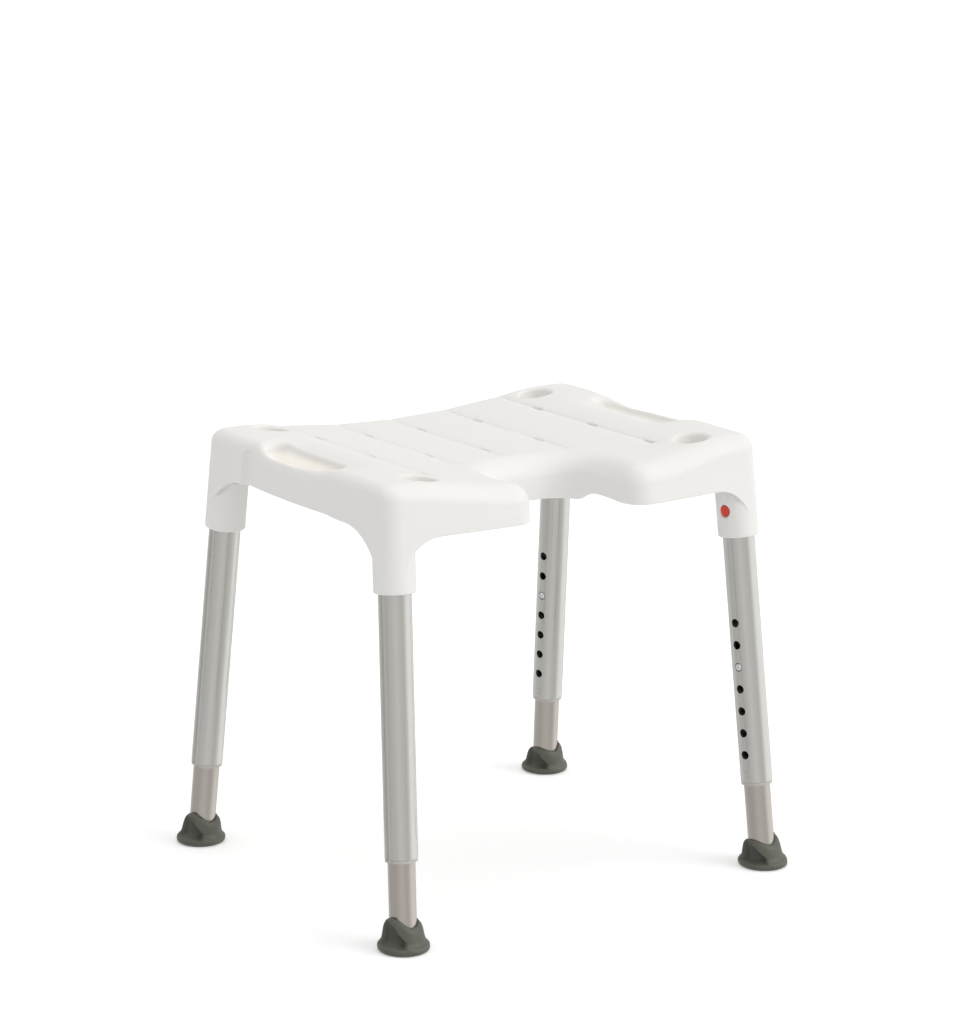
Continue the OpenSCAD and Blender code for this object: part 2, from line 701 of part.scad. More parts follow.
seat();
for (leg = LEGS) {
    at_leg(leg[1], leg[2]) leg_tube();
    at_leg(leg[1], leg[2]) extension_tube();
    at_leg(leg[1], leg[2]) guide_bush();
    foot(leg[1], leg[2]);
    at_leg(leg[1], leg[2]) height_pin();
    at_leg(leg[1], leg[2]) pin_spring();
    at_leg(leg[1], leg[2]) release_button();
    at_leg(leg[1], leg[2]) release_spring();
}
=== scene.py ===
import math

import bpy
import numpy as np
from mathutils import Matrix, Vector
from mathutils.bvhtree import BVHTree
from mathutils.geometry import delaunay_2d_cdt


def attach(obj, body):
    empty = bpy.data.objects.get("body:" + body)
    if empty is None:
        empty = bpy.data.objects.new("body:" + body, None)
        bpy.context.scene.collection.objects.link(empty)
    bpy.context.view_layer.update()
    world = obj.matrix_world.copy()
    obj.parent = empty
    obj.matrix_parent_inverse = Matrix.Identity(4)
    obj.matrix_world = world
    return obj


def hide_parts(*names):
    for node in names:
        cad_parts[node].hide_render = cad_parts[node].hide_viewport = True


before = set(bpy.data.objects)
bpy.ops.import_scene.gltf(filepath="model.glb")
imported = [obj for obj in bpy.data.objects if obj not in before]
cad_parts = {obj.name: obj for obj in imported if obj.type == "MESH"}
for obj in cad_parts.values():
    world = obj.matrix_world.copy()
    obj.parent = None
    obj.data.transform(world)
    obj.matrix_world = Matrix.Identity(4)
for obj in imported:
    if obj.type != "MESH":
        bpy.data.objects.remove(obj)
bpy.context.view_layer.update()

# Shower stool: white moulded seat, four splayed telescopic legs, red buttons, rubber feet.
# Shapes are worked out in millimetres and written to the meshes in metres.
mm = 0.001
legs = {"front_left": (-1, -1), "front_right": (1, -1), "rear_left": (-1, 1), "rear_right": (1, 1)}

stance = {
    "footX": 240.4,  # distance of a foot centre from the middle, sideways
    "footY": 210.1,  # and front to back
    "leanX": 0.0390,  # lean of a leg per unit of height
    "leanY": 0.1034,
    "turn": 13.0,  # turn of each leg about its own axis, degrees
}


# ---- camera, lights and floor

cameraSetup = {
    "place": (-2.118, -3.066, 1.289),
    "yaw": 34.78,  # degrees right of straight ahead
    "pitch": 13.50,  # degrees down
    "roll": 0.32,
    "lens": 122.25,
    "sensor": 36,  # long side, millimetres
    "reach": 200,  # metres
}


def link(name, data):
    holder = bpy.data.objects.new(name, data)
    bpy.context.scene.collection.objects.link(holder)
    return holder


def makeCamera(setup):
    yaw, pitch, roll = (math.radians(setup[k]) for k in ("yaw", "pitch", "roll"))
    ahead = Vector((math.sin(yaw) * math.cos(pitch), math.cos(yaw) * math.cos(pitch), -math.sin(pitch)))
    level = Vector((math.cos(yaw), -math.sin(yaw), 0))
    above = level.cross(ahead)
    right = level * math.cos(roll) + above * math.sin(roll)
    up = above * math.cos(roll) - level * math.sin(roll)
    camera = link("camera", bpy.data.cameras.new("camera"))
    camera.data.lens = setup["lens"]
    camera.data.sensor_width = setup["sensor"]
    camera.data.clip_end = setup["reach"]
    turned = Matrix((right, up, -ahead)).transposed().to_4x4()
    camera.matrix_world = Matrix.Translation(setup["place"]) @ turned
    bpy.context.scene.camera = camera


makeCamera(cameraSetup)

lightSetup = {
    "sky": 0.65,  # strength of the even white light from all round
    # broad lamps far away: direction they shine from, strength, apparent width in degrees
    "lamps": {
        "key": ((1.9, -2.2, 1.9), 1.03, 41),
        "fill": ((-2.6, -0.6, 1.2), 0.05, 45),
        "top": ((0.2, 0.4, 2.6), 0.50, 52),
    },
    "panel": (0.966, -0.255, 0.0),  # direction of the bright side of the studio
    # its brightness from the far side to the bright side
    "across": [(0.0, 0.60), (0.16, 0.70), (0.33, 0.80), (0.58, 0.70), (0.76, 0.62), (0.88, 0.85),
               (0.93, 1.15), (1.0, 1.15)],
    "ceiling": 0.9,
    "floor": 60,  # half the floor's width, metres
    "floorColour": (0.86, 0.86, 0.86, 1),
    "floorGlow": 0.29,  # light of its own that the floor shows the camera
}


def makeLights(setup):
    for name, (place, strength, width) in setup["lamps"].items():
        lamp = bpy.data.lights.new(name, "SUN")
        lamp.energy = strength
        lamp.angle = math.radians(width)
        link(name, lamp).matrix_world = Vector(place).to_track_quat("Z", "Y").to_matrix().to_4x4()


makeLights(lightSetup)
bpy.context.scene.view_settings.view_transform = "Standard"
print("camera and lights set")


# ---- node expressions

class Value:
    # one socket of a node tree; sums and products add their own Math nodes
    def __init__(self, graph, socket):
        self.graph, self.socket = graph, socket

    def maths(self, operation, first, second):
        return self.graph.node("ShaderNodeMath", {"operation": operation}, {0: first, 1: second})

    def __add__(self, other):
        return self.maths("ADD", self, other)

    __radd__ = __add__

    def __mul__(self, other):
        return self.maths("MULTIPLY", self, other)

    __rmul__ = __mul__

    def __sub__(self, other):
        return self.maths("SUBTRACT", self, other)

    def __rsub__(self, other):
        return self.maths("SUBTRACT", other, self)


class Graph:
    # node tree of a material or world; node() gives one output of a new node
    def __init__(self, owner):
        owner.use_nodes = True
        self.tree = owner.node_tree
        self.tree.nodes.clear()

    def node(self, kind, settings=None, inputs=None, out=0):
        made = self.tree.nodes.new(kind)
        for key, setting in (settings or {}).items():
            if key == "stops":
                ramp = made.color_ramp
                while len(ramp.elements) < len(setting):
                    ramp.elements.new(0.5)
                for element, (place, colour) in zip(ramp.elements, setting):
                    element.position = place
                    element.color = colour
            else:
                setattr(made, key, setting)
        for key, given in (inputs or {}).items():
            if isinstance(given, Value):
                self.tree.links.new(given.socket, made.inputs[key])
            else:
                made.inputs[key].default_value = given
        return Value(self, made.outputs[out]) if made.outputs else None


white = (1, 1, 1, 1)


def dot(g, first, second):
    return g.node("ShaderNodeVectorMath", {"operation": "DOT_PRODUCT"}, {0: first, 1: second}, "Value")


def raySorts(g):
    # 1 where the camera looks, 1 where a mirroring surface looks
    return tuple(g.node("ShaderNodeLightPath", out=name) for name in ("Is Camera Ray", "Is Glossy Ray"))


def makeStudio(g, direction, turned, setup):
    # brightness that mirroring surfaces see: a bright panel on one side beside a dark strip
    side = dot(g, direction, setup["panel"])
    stops = [(place, (level / 2, level / 2, level / 2, 1)) for place, level in setup["across"]]
    return g.node("ShaderNodeValToRGB", {"stops": stops}, {0: side * (0.5 * turned) + 0.5}) * 2


def makeWorld(setup):
    # white to the eye, even to matt surfaces, a studio with a bright ceiling to mirroring ones
    world = bpy.data.worlds.new("world")
    bpy.context.scene.world = world
    g = Graph(world)
    seen, mirrored = raySorts(g)
    facing = g.node("ShaderNodeTexCoord", out="Generated")
    upwards = g.node("ShaderNodeMath", {"operation": "MAXIMUM"}, {0: dot(g, facing, (0, 0, 1)), 1: 0.0})
    studio = makeStudio(g, facing, 1, setup) * (1 - upwards) + upwards * setup["ceiling"]
    strength = seen + (1 - seen) * (mirrored * studio + (1 - mirrored) * setup["sky"])
    back = g.node("ShaderNodeBackground", {}, {"Color": white, "Strength": strength})
    g.node("ShaderNodeOutputWorld", {}, {"Surface": back})


def makeFloor(setup):
    # pale to the eye, with the object's shadow; mirroring surfaces see the studio in it
    half = setup["floor"]
    mesh = bpy.data.meshes.new("floor")
    mesh.from_pydata([(-half, -half, 0), (half, -half, 0), (half, half, 0), (-half, half, 0)], [], [(0, 1, 2, 3)])
    floor = link("floor", mesh)
    material = bpy.data.materials.new("floor")
    g = Graph(material)
    seen, mirrored = raySorts(g)
    incoming = g.node("ShaderNodeNewGeometry", out="Incoming")
    matt = g.node("ShaderNodeBsdfDiffuse", {}, {"Color": setup["floorColour"]})
    glow = g.node("ShaderNodeEmission", {}, {"Color": white, "Strength": seen * setup["floorGlow"]})
    plainLook = g.node("ShaderNodeAddShader", {}, {0: matt, 1: glow})
    mirroredLook = makeStudio(g, incoming, -1, setup)
    studio = g.node("ShaderNodeEmission", {}, {"Color": white, "Strength": mirroredLook})
    both = g.node("ShaderNodeMixShader", {}, {0: mirrored, 1: plainLook, 2: studio})
    g.node("ShaderNodeOutputMaterial", {}, {"Surface": both})
    mesh.materials.append(material)


makeWorld(lightSetup)
makeFloor(lightSetup)


# ---- materials

def principled(g, settings):
    shader = g.node("ShaderNodeBsdfPrincipled", {}, settings)
    g.node("ShaderNodeOutputMaterial", {}, {"Surface": shader})


def fineBump(g, height, strength, distance):
    return g.node("ShaderNodeBump", {}, {"Strength": strength, "Distance": distance, "Height": height})


def noise(g, place, scale, detail, rough=0.5):
    return g.node("ShaderNodeTexNoise", {},
                  {"Vector": place, "Scale": scale, "Detail": detail, "Roughness": rough})


def mixColour(g, factor, low, high):
    return g.node("ShaderNodeMix", {"data_type": "RGBA"}, {0: factor, 6: low, 7: high}, 2)


def objectPlace(g):
    return g.node("ShaderNodeTexCoord", out="Object")


def paintedLightShare(g):
    # painted light that markPoints wrote to the mesh: glow on the seat's cut-out walls, shade in the feet's scoops
    return g.node("ShaderNodeAttribute", {"attribute_name": "mark"}, out=2)


seatFinish = {
    "white": (0.880, 0.866, 0.842, 1),
    "shade": (0.862, 0.846, 0.820, 1),  # slow cloudy tint of the moulded plastic
    "through": (0.240, 0.220, 0.188, 1),  # painted glow on the cut-out walls, standing in for daylight that comes through a thin wall
    "rough": 0.50,
    "specular": 0.36,
    "cloud": 9,  # patterns per metre: tint,
    "swirl": 60,  # change of roughness
    "grain": 1500,  # and spark-eroded mould grain
    "bump": (0.10, 0.0002),  # strength, and depth in metres
}


def makeSeatMaterial(finish):
    material = bpy.data.materials.new("seatPlastic")
    g = Graph(material)
    place = objectPlace(g)
    cloud = noise(g, place, finish["cloud"], 3)
    grain = noise(g, place, finish["grain"], 1)
    swirl = noise(g, place, finish["swirl"], 4)
    principled(g, {
        "Base Color": mixColour(g, cloud, finish["white"], finish["shade"]),
        "Roughness": swirl * 0.10 + (finish["rough"] - 0.05),
        "Normal": fineBump(g, grain, *finish["bump"]),
        "Specular IOR Level": finish["specular"],
        # painted glow: the cut-out walls glow a little, standing in for daylight through the thin plastic
        "Emission Color": mixColour(g, paintedLightShare(g), (0, 0, 0, 1), finish["through"]),
        "Emission Strength": 1.0,
    })
    return material


seatPlastic = makeSeatMaterial(seatFinish)


# ---- seat

seatShape = {
    "height": 467.7,  # top face at the middle
    "dishRate": 0.00052,  # rise per square millimetre from the middle line
    "levelGap": 8.2,  # the dish is level this far inwards from the legs
    "levelRun": 50.0,  # and levels out over this distance
    "socket": 22.4,  # outer radius of a leg socket
    "skirtFront": 430.5,  # height of the skirt's lower edge at front and rear,
    "skirtSide": 436.5,  # at the sides
    "skirtNotch": 421.5,  # and inside the front cut-out,
    "notchRise": 9.5,  # where it rises towards the mouth
    "frontArc": (43, 46),  # reach and radius of the arcs into the sockets
    "sideArc": (58, 64),
    "wall": 3.0,
    "bow": 11.0,  # bow of the long edges
    "notchHalf": 64.0,  # front cut-out: half width, start and reach of its round end
    "notchY": -140.0,
    "notchReach": 62.0,
    "notchPower": 2.6,  # power of its curve, where a circle has 2
    "tipRadius": 25.0,  # rounding of the front corners beside the cut-out
    "flare": -2.0,  # widening of the cut-out at its mouth
    "bulge": 12.5,  # bulge of the sides between the corner blocks
    "step": 6.5,  # step in behind a corner block, its length at the rear and the front
    "stepRun": 11.0,
    "frontStepRun": 46.0,
    "blockEdge": 100.0,  # where the corner blocks end
    "rimDrop": 6.0,  # the rim is lower by this beside the hand slots
    "slotDepth": 17.9,  # from the top face to the lower end of a slot's wall
    "topWall": 3.9,  # thickness of the top at the drains
    "spacing": 3.2,  # between outline stations
    "edgeRound": 1.2,  # rounding of the skirt's lower edge
    "proud": 0.10,  # the skirt stands this far proud of the sockets
    "rimFrom": 16,  # degrees round the rim where the plan mesh starts
}
s = seatShape
refZ = 440.0  # height of the plan; the legs' axes are at the corners there
cornerX, cornerY = stance["footX"] - stance["leanX"] * refZ, stance["footY"] - stance["leanY"] * refZ
faceY = cornerY + s["socket"]
# hand slot: inner side, width, rear and front end
slotIn, slotWide, slotRear, slotFront = cornerX - 18.2, 35.0, cornerY - 86.6, 108.6 - cornerY


def columns(*parts):
    # rows of points, or of indices, from their columns
    return np.stack(np.broadcast_arrays(*parts), -1)


def ease(t):
    # smooth step from 0 to 1
    t = np.clip(t, 0, 1)
    return t * t * (3 - 2 * t)


def dish(x):
    # parabola across the seat that levels out towards the sides
    a = np.abs(x)
    level = cornerX - s["levelGap"]
    end = level - s["levelRun"]
    t = np.clip(a, end, level) - end
    return s["dishRate"] * np.minimum(a, end) ** 2 + 2 * s["dishRate"] * end * (t - t * t / (2 * s["levelRun"]))


def topZ(x, y):
    # top face with the lowered rim beside the hand slots
    drop = ease((np.abs(x) - slotIn + 30) / 35) * ease((s["blockEdge"] - 10 - np.abs(y)) / 45)
    return s["height"] + dish(x) - s["rimDrop"] * drop


def sideOut(y):
    # step in behind the corner block (rear: a quarter ellipse, root of 1 - (1 - t) squared), then a bulge
    a = np.abs(y)
    t = np.clip((s["blockEdge"] + 1 - a) / s["stepRun"], 0, 1)
    rear = 0.25 * ease(t * 6) + 0.75 * np.sqrt(1 - (1 - t) ** 2)
    step = -s["step"] * np.where(y > 0, rear, ease((s["blockEdge"] + 2 - a) / s["frontStepRun"]))
    return step, s["bulge"] * np.clip(1 - (a / s["blockEdge"]) ** 2, 0, 1)


def arcDrop(t, arc):
    # circular arc of the lower edge down to a socket, t away from the socket's middle
    reach, radius = arc
    return np.where(t > reach, 0, radius - np.sqrt(np.maximum(radius ** 2 - np.maximum(reach - t, 0) ** 2, 0)))


def edgeY(x):
    # long edge, bowed as 1 - (x / corner) squared
    return faceY + s["bow"] * (1 - np.minimum(1, (x / cornerX) ** 2))


def halfOutline():
    # right half of the plan from the cut-out middle to the rear middle, as columns:
    # x, y, rim inset, rim drop, lower edge
    t = np.radians(np.linspace(0, 88, 45))
    notchX = s["notchHalf"] * np.sin(t) ** (2 / s["notchPower"])
    notchYs = s["notchY"] + s["notchReach"] * np.cos(t) ** (2 / s["notchPower"])
    low = s["skirtNotch"] + s["notchRise"] * ease((notchX - 57) / 6.5)
    notch = columns(notchX, notchYs, 28, 24, low)
    tipX = s["notchHalf"] + s["flare"] + s["tipRadius"]
    tipY = -edgeY(tipX) + s["tipRadius"]
    t = np.linspace(0.03, 0.97, 14)
    flank = columns(s["notchHalf"] + s["flare"] * t * t, s["notchY"] + t * (tipY - s["notchY"]),
                    28 - 6 * t, 24 - 2 * t, s["skirtNotch"] + s["notchRise"] - 0.5 * t)
    a = np.radians(np.linspace(180, 270, 16))
    tip = columns(tipX + s["tipRadius"] * np.cos(a), tipY + s["tipRadius"] * np.sin(a), 21, 22, s["skirtFront"])
    x = np.linspace(tipX + 3, cornerX - 1, 60)
    t = (x - tipX) / (cornerX - tipX)
    lobe = columns(x, -edgeY(x), 21 + 28 * t * (1 - t) - t, 22 - 3 * t,
                   s["skirtFront"] - arcDrop(cornerX - x, s["frontArc"]))
    t = np.linspace(0, 1, 18)
    a = np.radians(-90 + 90 * t)
    frontLow = s["skirtFront"] - arcDrop(0, s["frontArc"])
    sideLow = s["skirtSide"] - arcDrop(0, s["sideArc"])
    front = columns(cornerX + s["socket"] * np.cos(a), -cornerY + s["socket"] * np.sin(a),
                    20 - 4 * t, 19 - 5 * t, frontLow + (sideLow - frontLow) * t)
    y = np.linspace(1 - cornerY, cornerY - 1, 160)
    side = columns(cornerX + s["socket"], y, 16, 14 + 2 * ease((s["blockEdge"] - np.abs(y)) / 30),
                   s["skirtSide"] - arcDrop(cornerY - np.abs(y), s["sideArc"]))
    a = np.radians(90 * t)
    rear = columns(cornerX + s["socket"] * np.cos(a), cornerY + s["socket"] * np.sin(a),
                   16 + 4 * t, 14 + 2 * t, sideLow + (frontLow - sideLow) * t)
    x = np.linspace(cornerX - 1, 0, 90)
    back = columns(x, edgeY(x), 20, 16, s["skirtFront"] - arcDrop(cornerX - x, s["frontArc"]))
    return np.concatenate([notch, flank, tip, lobe, front, side, rear, back])


def wrapSmooth(values, width):
    # circular moving average with a bell-shaped weight, width in stations
    reach = int(3 * width) + 1
    k = np.exp(-0.5 * (np.arange(-reach, reach + 1) / width) ** 2)
    k /= k.sum()
    padded = np.concatenate([values[-reach:], values, values[:reach]])
    return columns(*(np.convolve(column, k, "valid") for column in padded.T))


def loopNormals(ring):
    # unit normals of a closed counter-clockwise loop, pointing inwards
    along = np.roll(ring, -1, 0) - np.roll(ring, 1, 0)
    return columns(-along[:, 1], along[:, 0]) / np.hypot(*along.T)[:, None]


def resample(shut, run, count):
    # closed loop with count points evenly along its run
    at = np.linspace(0, run[-1], count, endpoint=False)
    return columns(*(np.interp(at, run, column) for column in shut.T))


def makeOutline():
    # whole plan, counter-clockwise, evenly spaced: the half's columns and the inward normal
    half = halfOutline()
    ring = np.concatenate([half, half[-2:0:-1] * [-1, 1, 1, 1, 1]])
    shut = np.concatenate([ring, ring[:1]])
    steps = np.diff(shut, axis=0)
    # more stations at the steps of the rear corner blocks
    weight = np.where((shut[1:, 1] > 86) & (shut[1:, 1] < 106) & (np.abs(shut[1:, 0]) > cornerX), 4, 1)
    run = np.concatenate([[0], np.cumsum(weight * np.sqrt(steps[:, 0] ** 2 + steps[:, 1] ** 2 + steps[:, 4] ** 2))])
    even = resample(shut, run, 2 * int(run[-1] / s["spacing"] / 2))
    even[:, :2] = wrapSmooth(even[:, :2], 0.8)
    even[:, 2:4] = wrapSmooth(even[:, 2:4], 5)
    even[:, 4:] = wrapSmooth(even[:, 4:], 0.9)
    return np.concatenate([even, loopNormals(even[:, :2])], 1)


outline = makeOutline()
# 1 in the outer quarter of each corner, where skirt and socket are one surface
cornerShare = ease(1 - (np.maximum(cornerX - np.abs(outline[:, 0]), 0)
                        + np.maximum(cornerY - np.abs(outline[:, 1]), 0)) / 20)


def facePoint(z):
    # skirt face of every station at its height z: it leans with the legs and bulges at the sides
    x, y = outline[:, 0], outline[:, 1]
    isSide = (np.abs(y) < cornerY) & (np.abs(x) > cornerX)
    step, swell = sideOut(y)
    bulge = np.where(isSide, step + swell * (0.4 + 0.6 * ease((z - s["skirtSide"]) / 35)), 0)
    inX = stance["leanX"] * (z - refZ) * np.minimum(1, np.abs(x) / cornerX)
    inY = stance["leanY"] * (z - refZ) * np.minimum(1, np.abs(y) / cornerY)
    return columns(x + np.sign(x) * (bulge - inX), y - np.sign(y) * inY)


inward = outline[:, 5:7]
rimInner = facePoint(np.full(len(outline), s["height"])) + inward * outline[:, 2:3]
rimLow = topZ(rimInner[:, 0], rimInner[:, 1]) - outline[:, 3]
rimFoot = facePoint(rimLow)
# over a step the rim follows a softened line
nearStep = ease((24 - np.abs(np.abs(outline[:, 1]) - s["blockEdge"])) / 8) * (np.abs(outline[:, 0]) > cornerX)
rimLine = rimFoot + nearStep[:, None] * (wrapSmooth(rimFoot, 7) - rimFoot)


def rimRow(degrees):
    # points on the rim's quarter ellipse: inset * (1 - cos a) inwards, drop * sin a up
    angle = math.radians(degrees)
    inset = outline[:, 2] * (1 - math.cos(angle))
    share = float(ease(degrees / s["rimFrom"]))
    p = rimFoot + (rimLine - rimFoot) * share + inward * inset[:, None]
    return np.column_stack([p, rimLow + outline[:, 3] * math.sin(angle)])


def nearest(points, loop):
    # index of the nearest loop point for every point
    chunk = 4000
    found = [np.argmin(((points[i:i + chunk, None] - loop[None]) ** 2).sum(-1), 1)
             for i in range(0, len(points), chunk)]
    return np.concatenate(found) if found else np.zeros(0, int)


slotOutline = [  # share of the slot's width, and millimetres from its front end or from its rear end
    (0, None, 13), (0, 13, None), (0.1, 6.5, None), (0.3, 4, None), (0.55, 4.5, None), (0.8, 13.5, None),
    (0.92, 28, None), (1, 50, None), (1, None, 56), (0.96, None, 34), (0.88, None, 17), (0.74, None, 5),
    (0.52, None, 0), (0.26, None, 0.5), (0.07, None, 5)]


def evenLoop(ring, spacing, smooth):
    # closed loop resampled at even spacing and softened
    shut = np.concatenate([ring, ring[:1]])
    run = np.concatenate([[0], np.cumsum(np.hypot(*np.diff(shut, axis=0).T))])
    return wrapSmooth(resample(shut, run, int(run[-1] / spacing)), smooth)


def slotLoop(side):
    rows = [(slotIn + share * slotWide, slotFront + front if rear is None else slotRear - rear)
            for share, front, rear in slotOutline]
    ring = evenLoop(np.array(rows), 1.6, 2.2)
    return ring if side > 0 else (ring * [-1, 1])[::-1]


def slotLip(out, side):
    # width of the rounded lip: narrow at the straight inner side, broad at the scooped rear end
    return 5.6 + 1.4 * out[:, 0] * side + 4.2 * np.maximum(out[:, 1], 0)


def circle(count):
    a = np.linspace(0, 2 * np.pi, count, endpoint=False)
    return columns(np.cos(a), np.sin(a))


cups = {"radius": 18.0, "lip": 4.8, "lipDrop": 4.4, "depth": 22.0, "fillet": 4.0, "steps": 64,
        "x": cornerX - 45.0, "front": 19.6 - cornerY, "rear": cornerY - 16.6}
# half width and depth of a crease, height of the panels between, place and depth of the lines over the ribs
grooves = {"pitch": 73.6, "half": 4.0, "depth": 0.55, "pillow": 2.8, "ribY": 56.0, "crease": 0.16}
drains = {"long": 20.0, "wide": 4.0, "lip": 0.9, "lipDrop": 0.6, "rear": 43.6, "middle": -4, "front": 56.6}
# painted glow on the wall of each kind of cut-out, standing in for light through it, and the rings of points round
# it, as shares of its lip
paintedGlowShare = {"slot": 0.8, "cup": 0.1, "drain": 1.0}
lipShares = {"slot": (0.05, 0.14, 0.28, 0.46, 0.68, 0.92, 1.15), "cup": (0.06, 0.2, 0.4, 0.65, 0.95, 1.3),
             "drain": (1.0,)}
cutouts = []


def addCutout(kind, loop, lip, drop):
    # outward normal, lip width and lip drop are kept for every point of the loop
    cutouts.append({"kind": kind, "loop": loop, "out": -loopNormals(loop),
                    "lip": np.broadcast_to(lip, len(loop)), "drop": np.broadcast_to(drop, len(loop))})


for side in (-1, 1):
    ring = slotLoop(side)
    width = slotLip(-loopNormals(ring), side)
    addCutout("slot", ring, width, width * 0.9)
for side in (-1, 1):
    for end in ("front", "rear"):
        centre = np.array([side * cups["x"], cups[end]])
        addCutout("cup", centre + cups["radius"] * circle(cups["steps"]), cups["lip"], cups["lipDrop"])
for i in range(-2, 3):
    # the rear drains lie further forward towards the sides; the outermost grooves have a third one
    rear = cornerY - drains["rear"] - 5 * abs(i) - (10 if abs(i) > 1 else 0)
    for y in [rear, drains["middle"]] + ([drains["front"] - cornerY] if abs(i) > 1 else []):
        a = np.radians(np.concatenate([np.linspace(0, 180, 9), np.linspace(180, 360, 9)]))
        reach = (drains["long"] - drains["wide"]) / 2
        ring = columns(np.cos(a), np.sin(a)) * drains["wide"] / 2
        ring[:, 1] += np.where(np.arange(18) < 9, reach, -reach)
        addCutout("drain", evenLoop(ring + [i * grooves["pitch"], y], 1.5, 0.5), drains["lip"], drains["lipDrop"])


def inLoop(points, loop):
    # which points lie inside a closed loop
    inside = np.zeros(len(points), bool)
    for (ax, ay), (bx, by) in zip(loop, np.roll(loop, -1, 0)):
        crosses = (ay > points[:, 1]) != (by > points[:, 1])
        if crosses.any():
            at = ax + (points[:, 1] - ay) * (bx - ax) / (by - ay if by != ay else 1e-9)
            inside ^= crosses & (points[:, 0] < at)
    return inside


def inLoops(points, loops):
    return np.any([inLoop(points, loop) for loop in loops], 0)


def cutoutTerms(points):
    # drop of the lips, d(1 - root of (1 - share squared)), and the distance to the nearest one
    drop = np.zeros(len(points))
    clear = np.full(len(points), 1e3)
    for hole in cutouts:
        near = np.where(((points - hole["loop"].mean(0)) ** 2).sum(-1) < 120 ** 2)[0]
        k = nearest(points[near], hole["loop"])
        gap = ((points[near] - hole["loop"][k]) * hole["out"][k]).sum(-1)
        share = np.clip(1 - gap / hole["lip"][k], 0, 1)
        drop[near] += hole["drop"][k] * (1 - np.sqrt(1 - share ** 2))
        clear[near] = np.minimum(clear[near], gap - hole["lip"][k])
    return drop, clear


def rimTerms(points):
    # drop of the rim, d(1 - root of (1 - share squared)), and the distance inwards past it
    k = nearest(points, rimLine)
    gap = ((points - rimLine[k]) * inward[k]).sum(-1)
    share = np.clip(1 - gap / outline[k, 2], 0, 1)
    return outline[k, 3] * (1 - np.sqrt(1 - share ** 2)), gap - outline[k, 2]


def grooveTerm(x, y):
    # creased grooves between softly pillowed panels, and the faint lines over the cross ribs
    total = np.zeros(len(x))
    for i in range(-2, 3):
        u = np.abs(x - i * grooves["pitch"])
        front = 32 - cornerY if abs(i) > 1 else s["notchY"] + (86 if i == 0 else 68)
        # shallow over the rear rim, and gone before the skirt
        along = ease((y - front) / 16) * (0.3 + 0.7 * ease((faceY - 2 - y) / 12)) * ease((edgeY(x) - 3 - y) / 6)
        crease = np.clip(1 - u / grooves["half"], 0, 1) ** 2
        total += along * (grooves["depth"] * crease + grooves["pillow"] * np.exp(-u / 8))
    for y0 in (-grooves["ribY"], grooves["ribY"]):
        total += grooves["crease"] * np.exp(-((y - y0) / 1.6) ** 2) * ease((205 - np.abs(x)) / 8)
    return total


def seatHeight(points):
    # finished height of the top at plan points: dish - rim - lips - grooves
    x, y = points[:, 0], points[:, 1]
    rim, past = rimTerms(points)
    lip, _ = cutoutTerms(points)
    return topZ(x, y) - rim - lip - grooveTerm(x, y) * ease((past + np.where(y > 120, 14, 0)) / 6)


def gridPoints(xs, ys):
    gx, gy = np.meshgrid(xs, ys)
    return columns(gx.ravel(), gy.ravel())


def planGrid():
    # grid of plan points with extra lines at the grooves and cross lines
    def axis(low, high, step, centres, offsets):
        base = np.arange(low, high, step)
        lines = np.concatenate([c + np.array(offsets) for c in centres])
        clear = np.abs(base[:, None] - lines[None]).min(1) > 1.3
        return np.sort(np.concatenate([base[clear], lines]))

    centres = [i * grooves["pitch"] for i in range(-2, 3)]
    xs = axis(-250, 250, 3.5, centres, [-4, -2.6, -1.5, -0.7, 0, 0.7, 1.5, 2.6, 4])
    ys = axis(-200, 200, 3.5, [-grooves["ribY"], grooves["ribY"]], [-2, -1, 0, 1, 2])
    return gridPoints(xs, ys)


def fillPlan(outer, holes, loose):
    # triangles between the outer loop and the holes; indices count outer, holes, loose
    loops = [outer] + holes
    points = np.concatenate(loops + [loose])
    edges, start = [], 0
    for loop in loops:
        n = len(loop)
        edges += [(start + i, start + (i + 1) % n) for i in range(n)]
        start += n
    made = delaunay_2d_cdt([Vector(p) for p in points.tolist()], edges, [], 0, 1e-5)
    origin = np.array([given[0] for given in made[3]])
    spots = np.array([tuple(v) for v in made[0]])
    tris = np.array(made[2])
    middle = spots[tris].mean(1)
    keep = inLoop(middle, outer) & ~inLoops(middle, holes)
    a, b, c = (spots[tris[:, i]] for i in range(3))
    turn = np.cross(b - a, c - a)
    tris = np.where((turn < 0)[:, None], tris[:, ::-1], tris)
    return points, origin[tris[keep]]


class Shell:
    # gathers points and faces of one object; faces are kept as triangles
    def __init__(self):
        self.points, self.faces, self.count = [], [], 0
        self.marks = []  # indices and values of painted light: glow on the thin walls of the seat, shade in the scoops of the feet

    def add(self, points, faces=None):
        # gives the indices of the points; faces count from the first of them
        index = np.arange(self.count, self.count + len(points))
        self.points.append(np.asarray(points, float))
        self.count += len(points)
        if faces is not None:
            self.join(index[faces])
        return index

    def join(self, faces):
        faces = np.asarray(faces)
        if faces.shape[1] == 4:
            faces = np.concatenate([faces[:, [0, 1, 2]], faces[:, [0, 2, 3]]])
        self.faces.append(faces)

    def strip(self, a, b):
        # quads between two closed rows of point indices
        self.join(columns(a, np.roll(a, -1), np.roll(b, -1), b))

    def arrays(self):
        return np.concatenate(self.points), np.concatenate(self.faces)


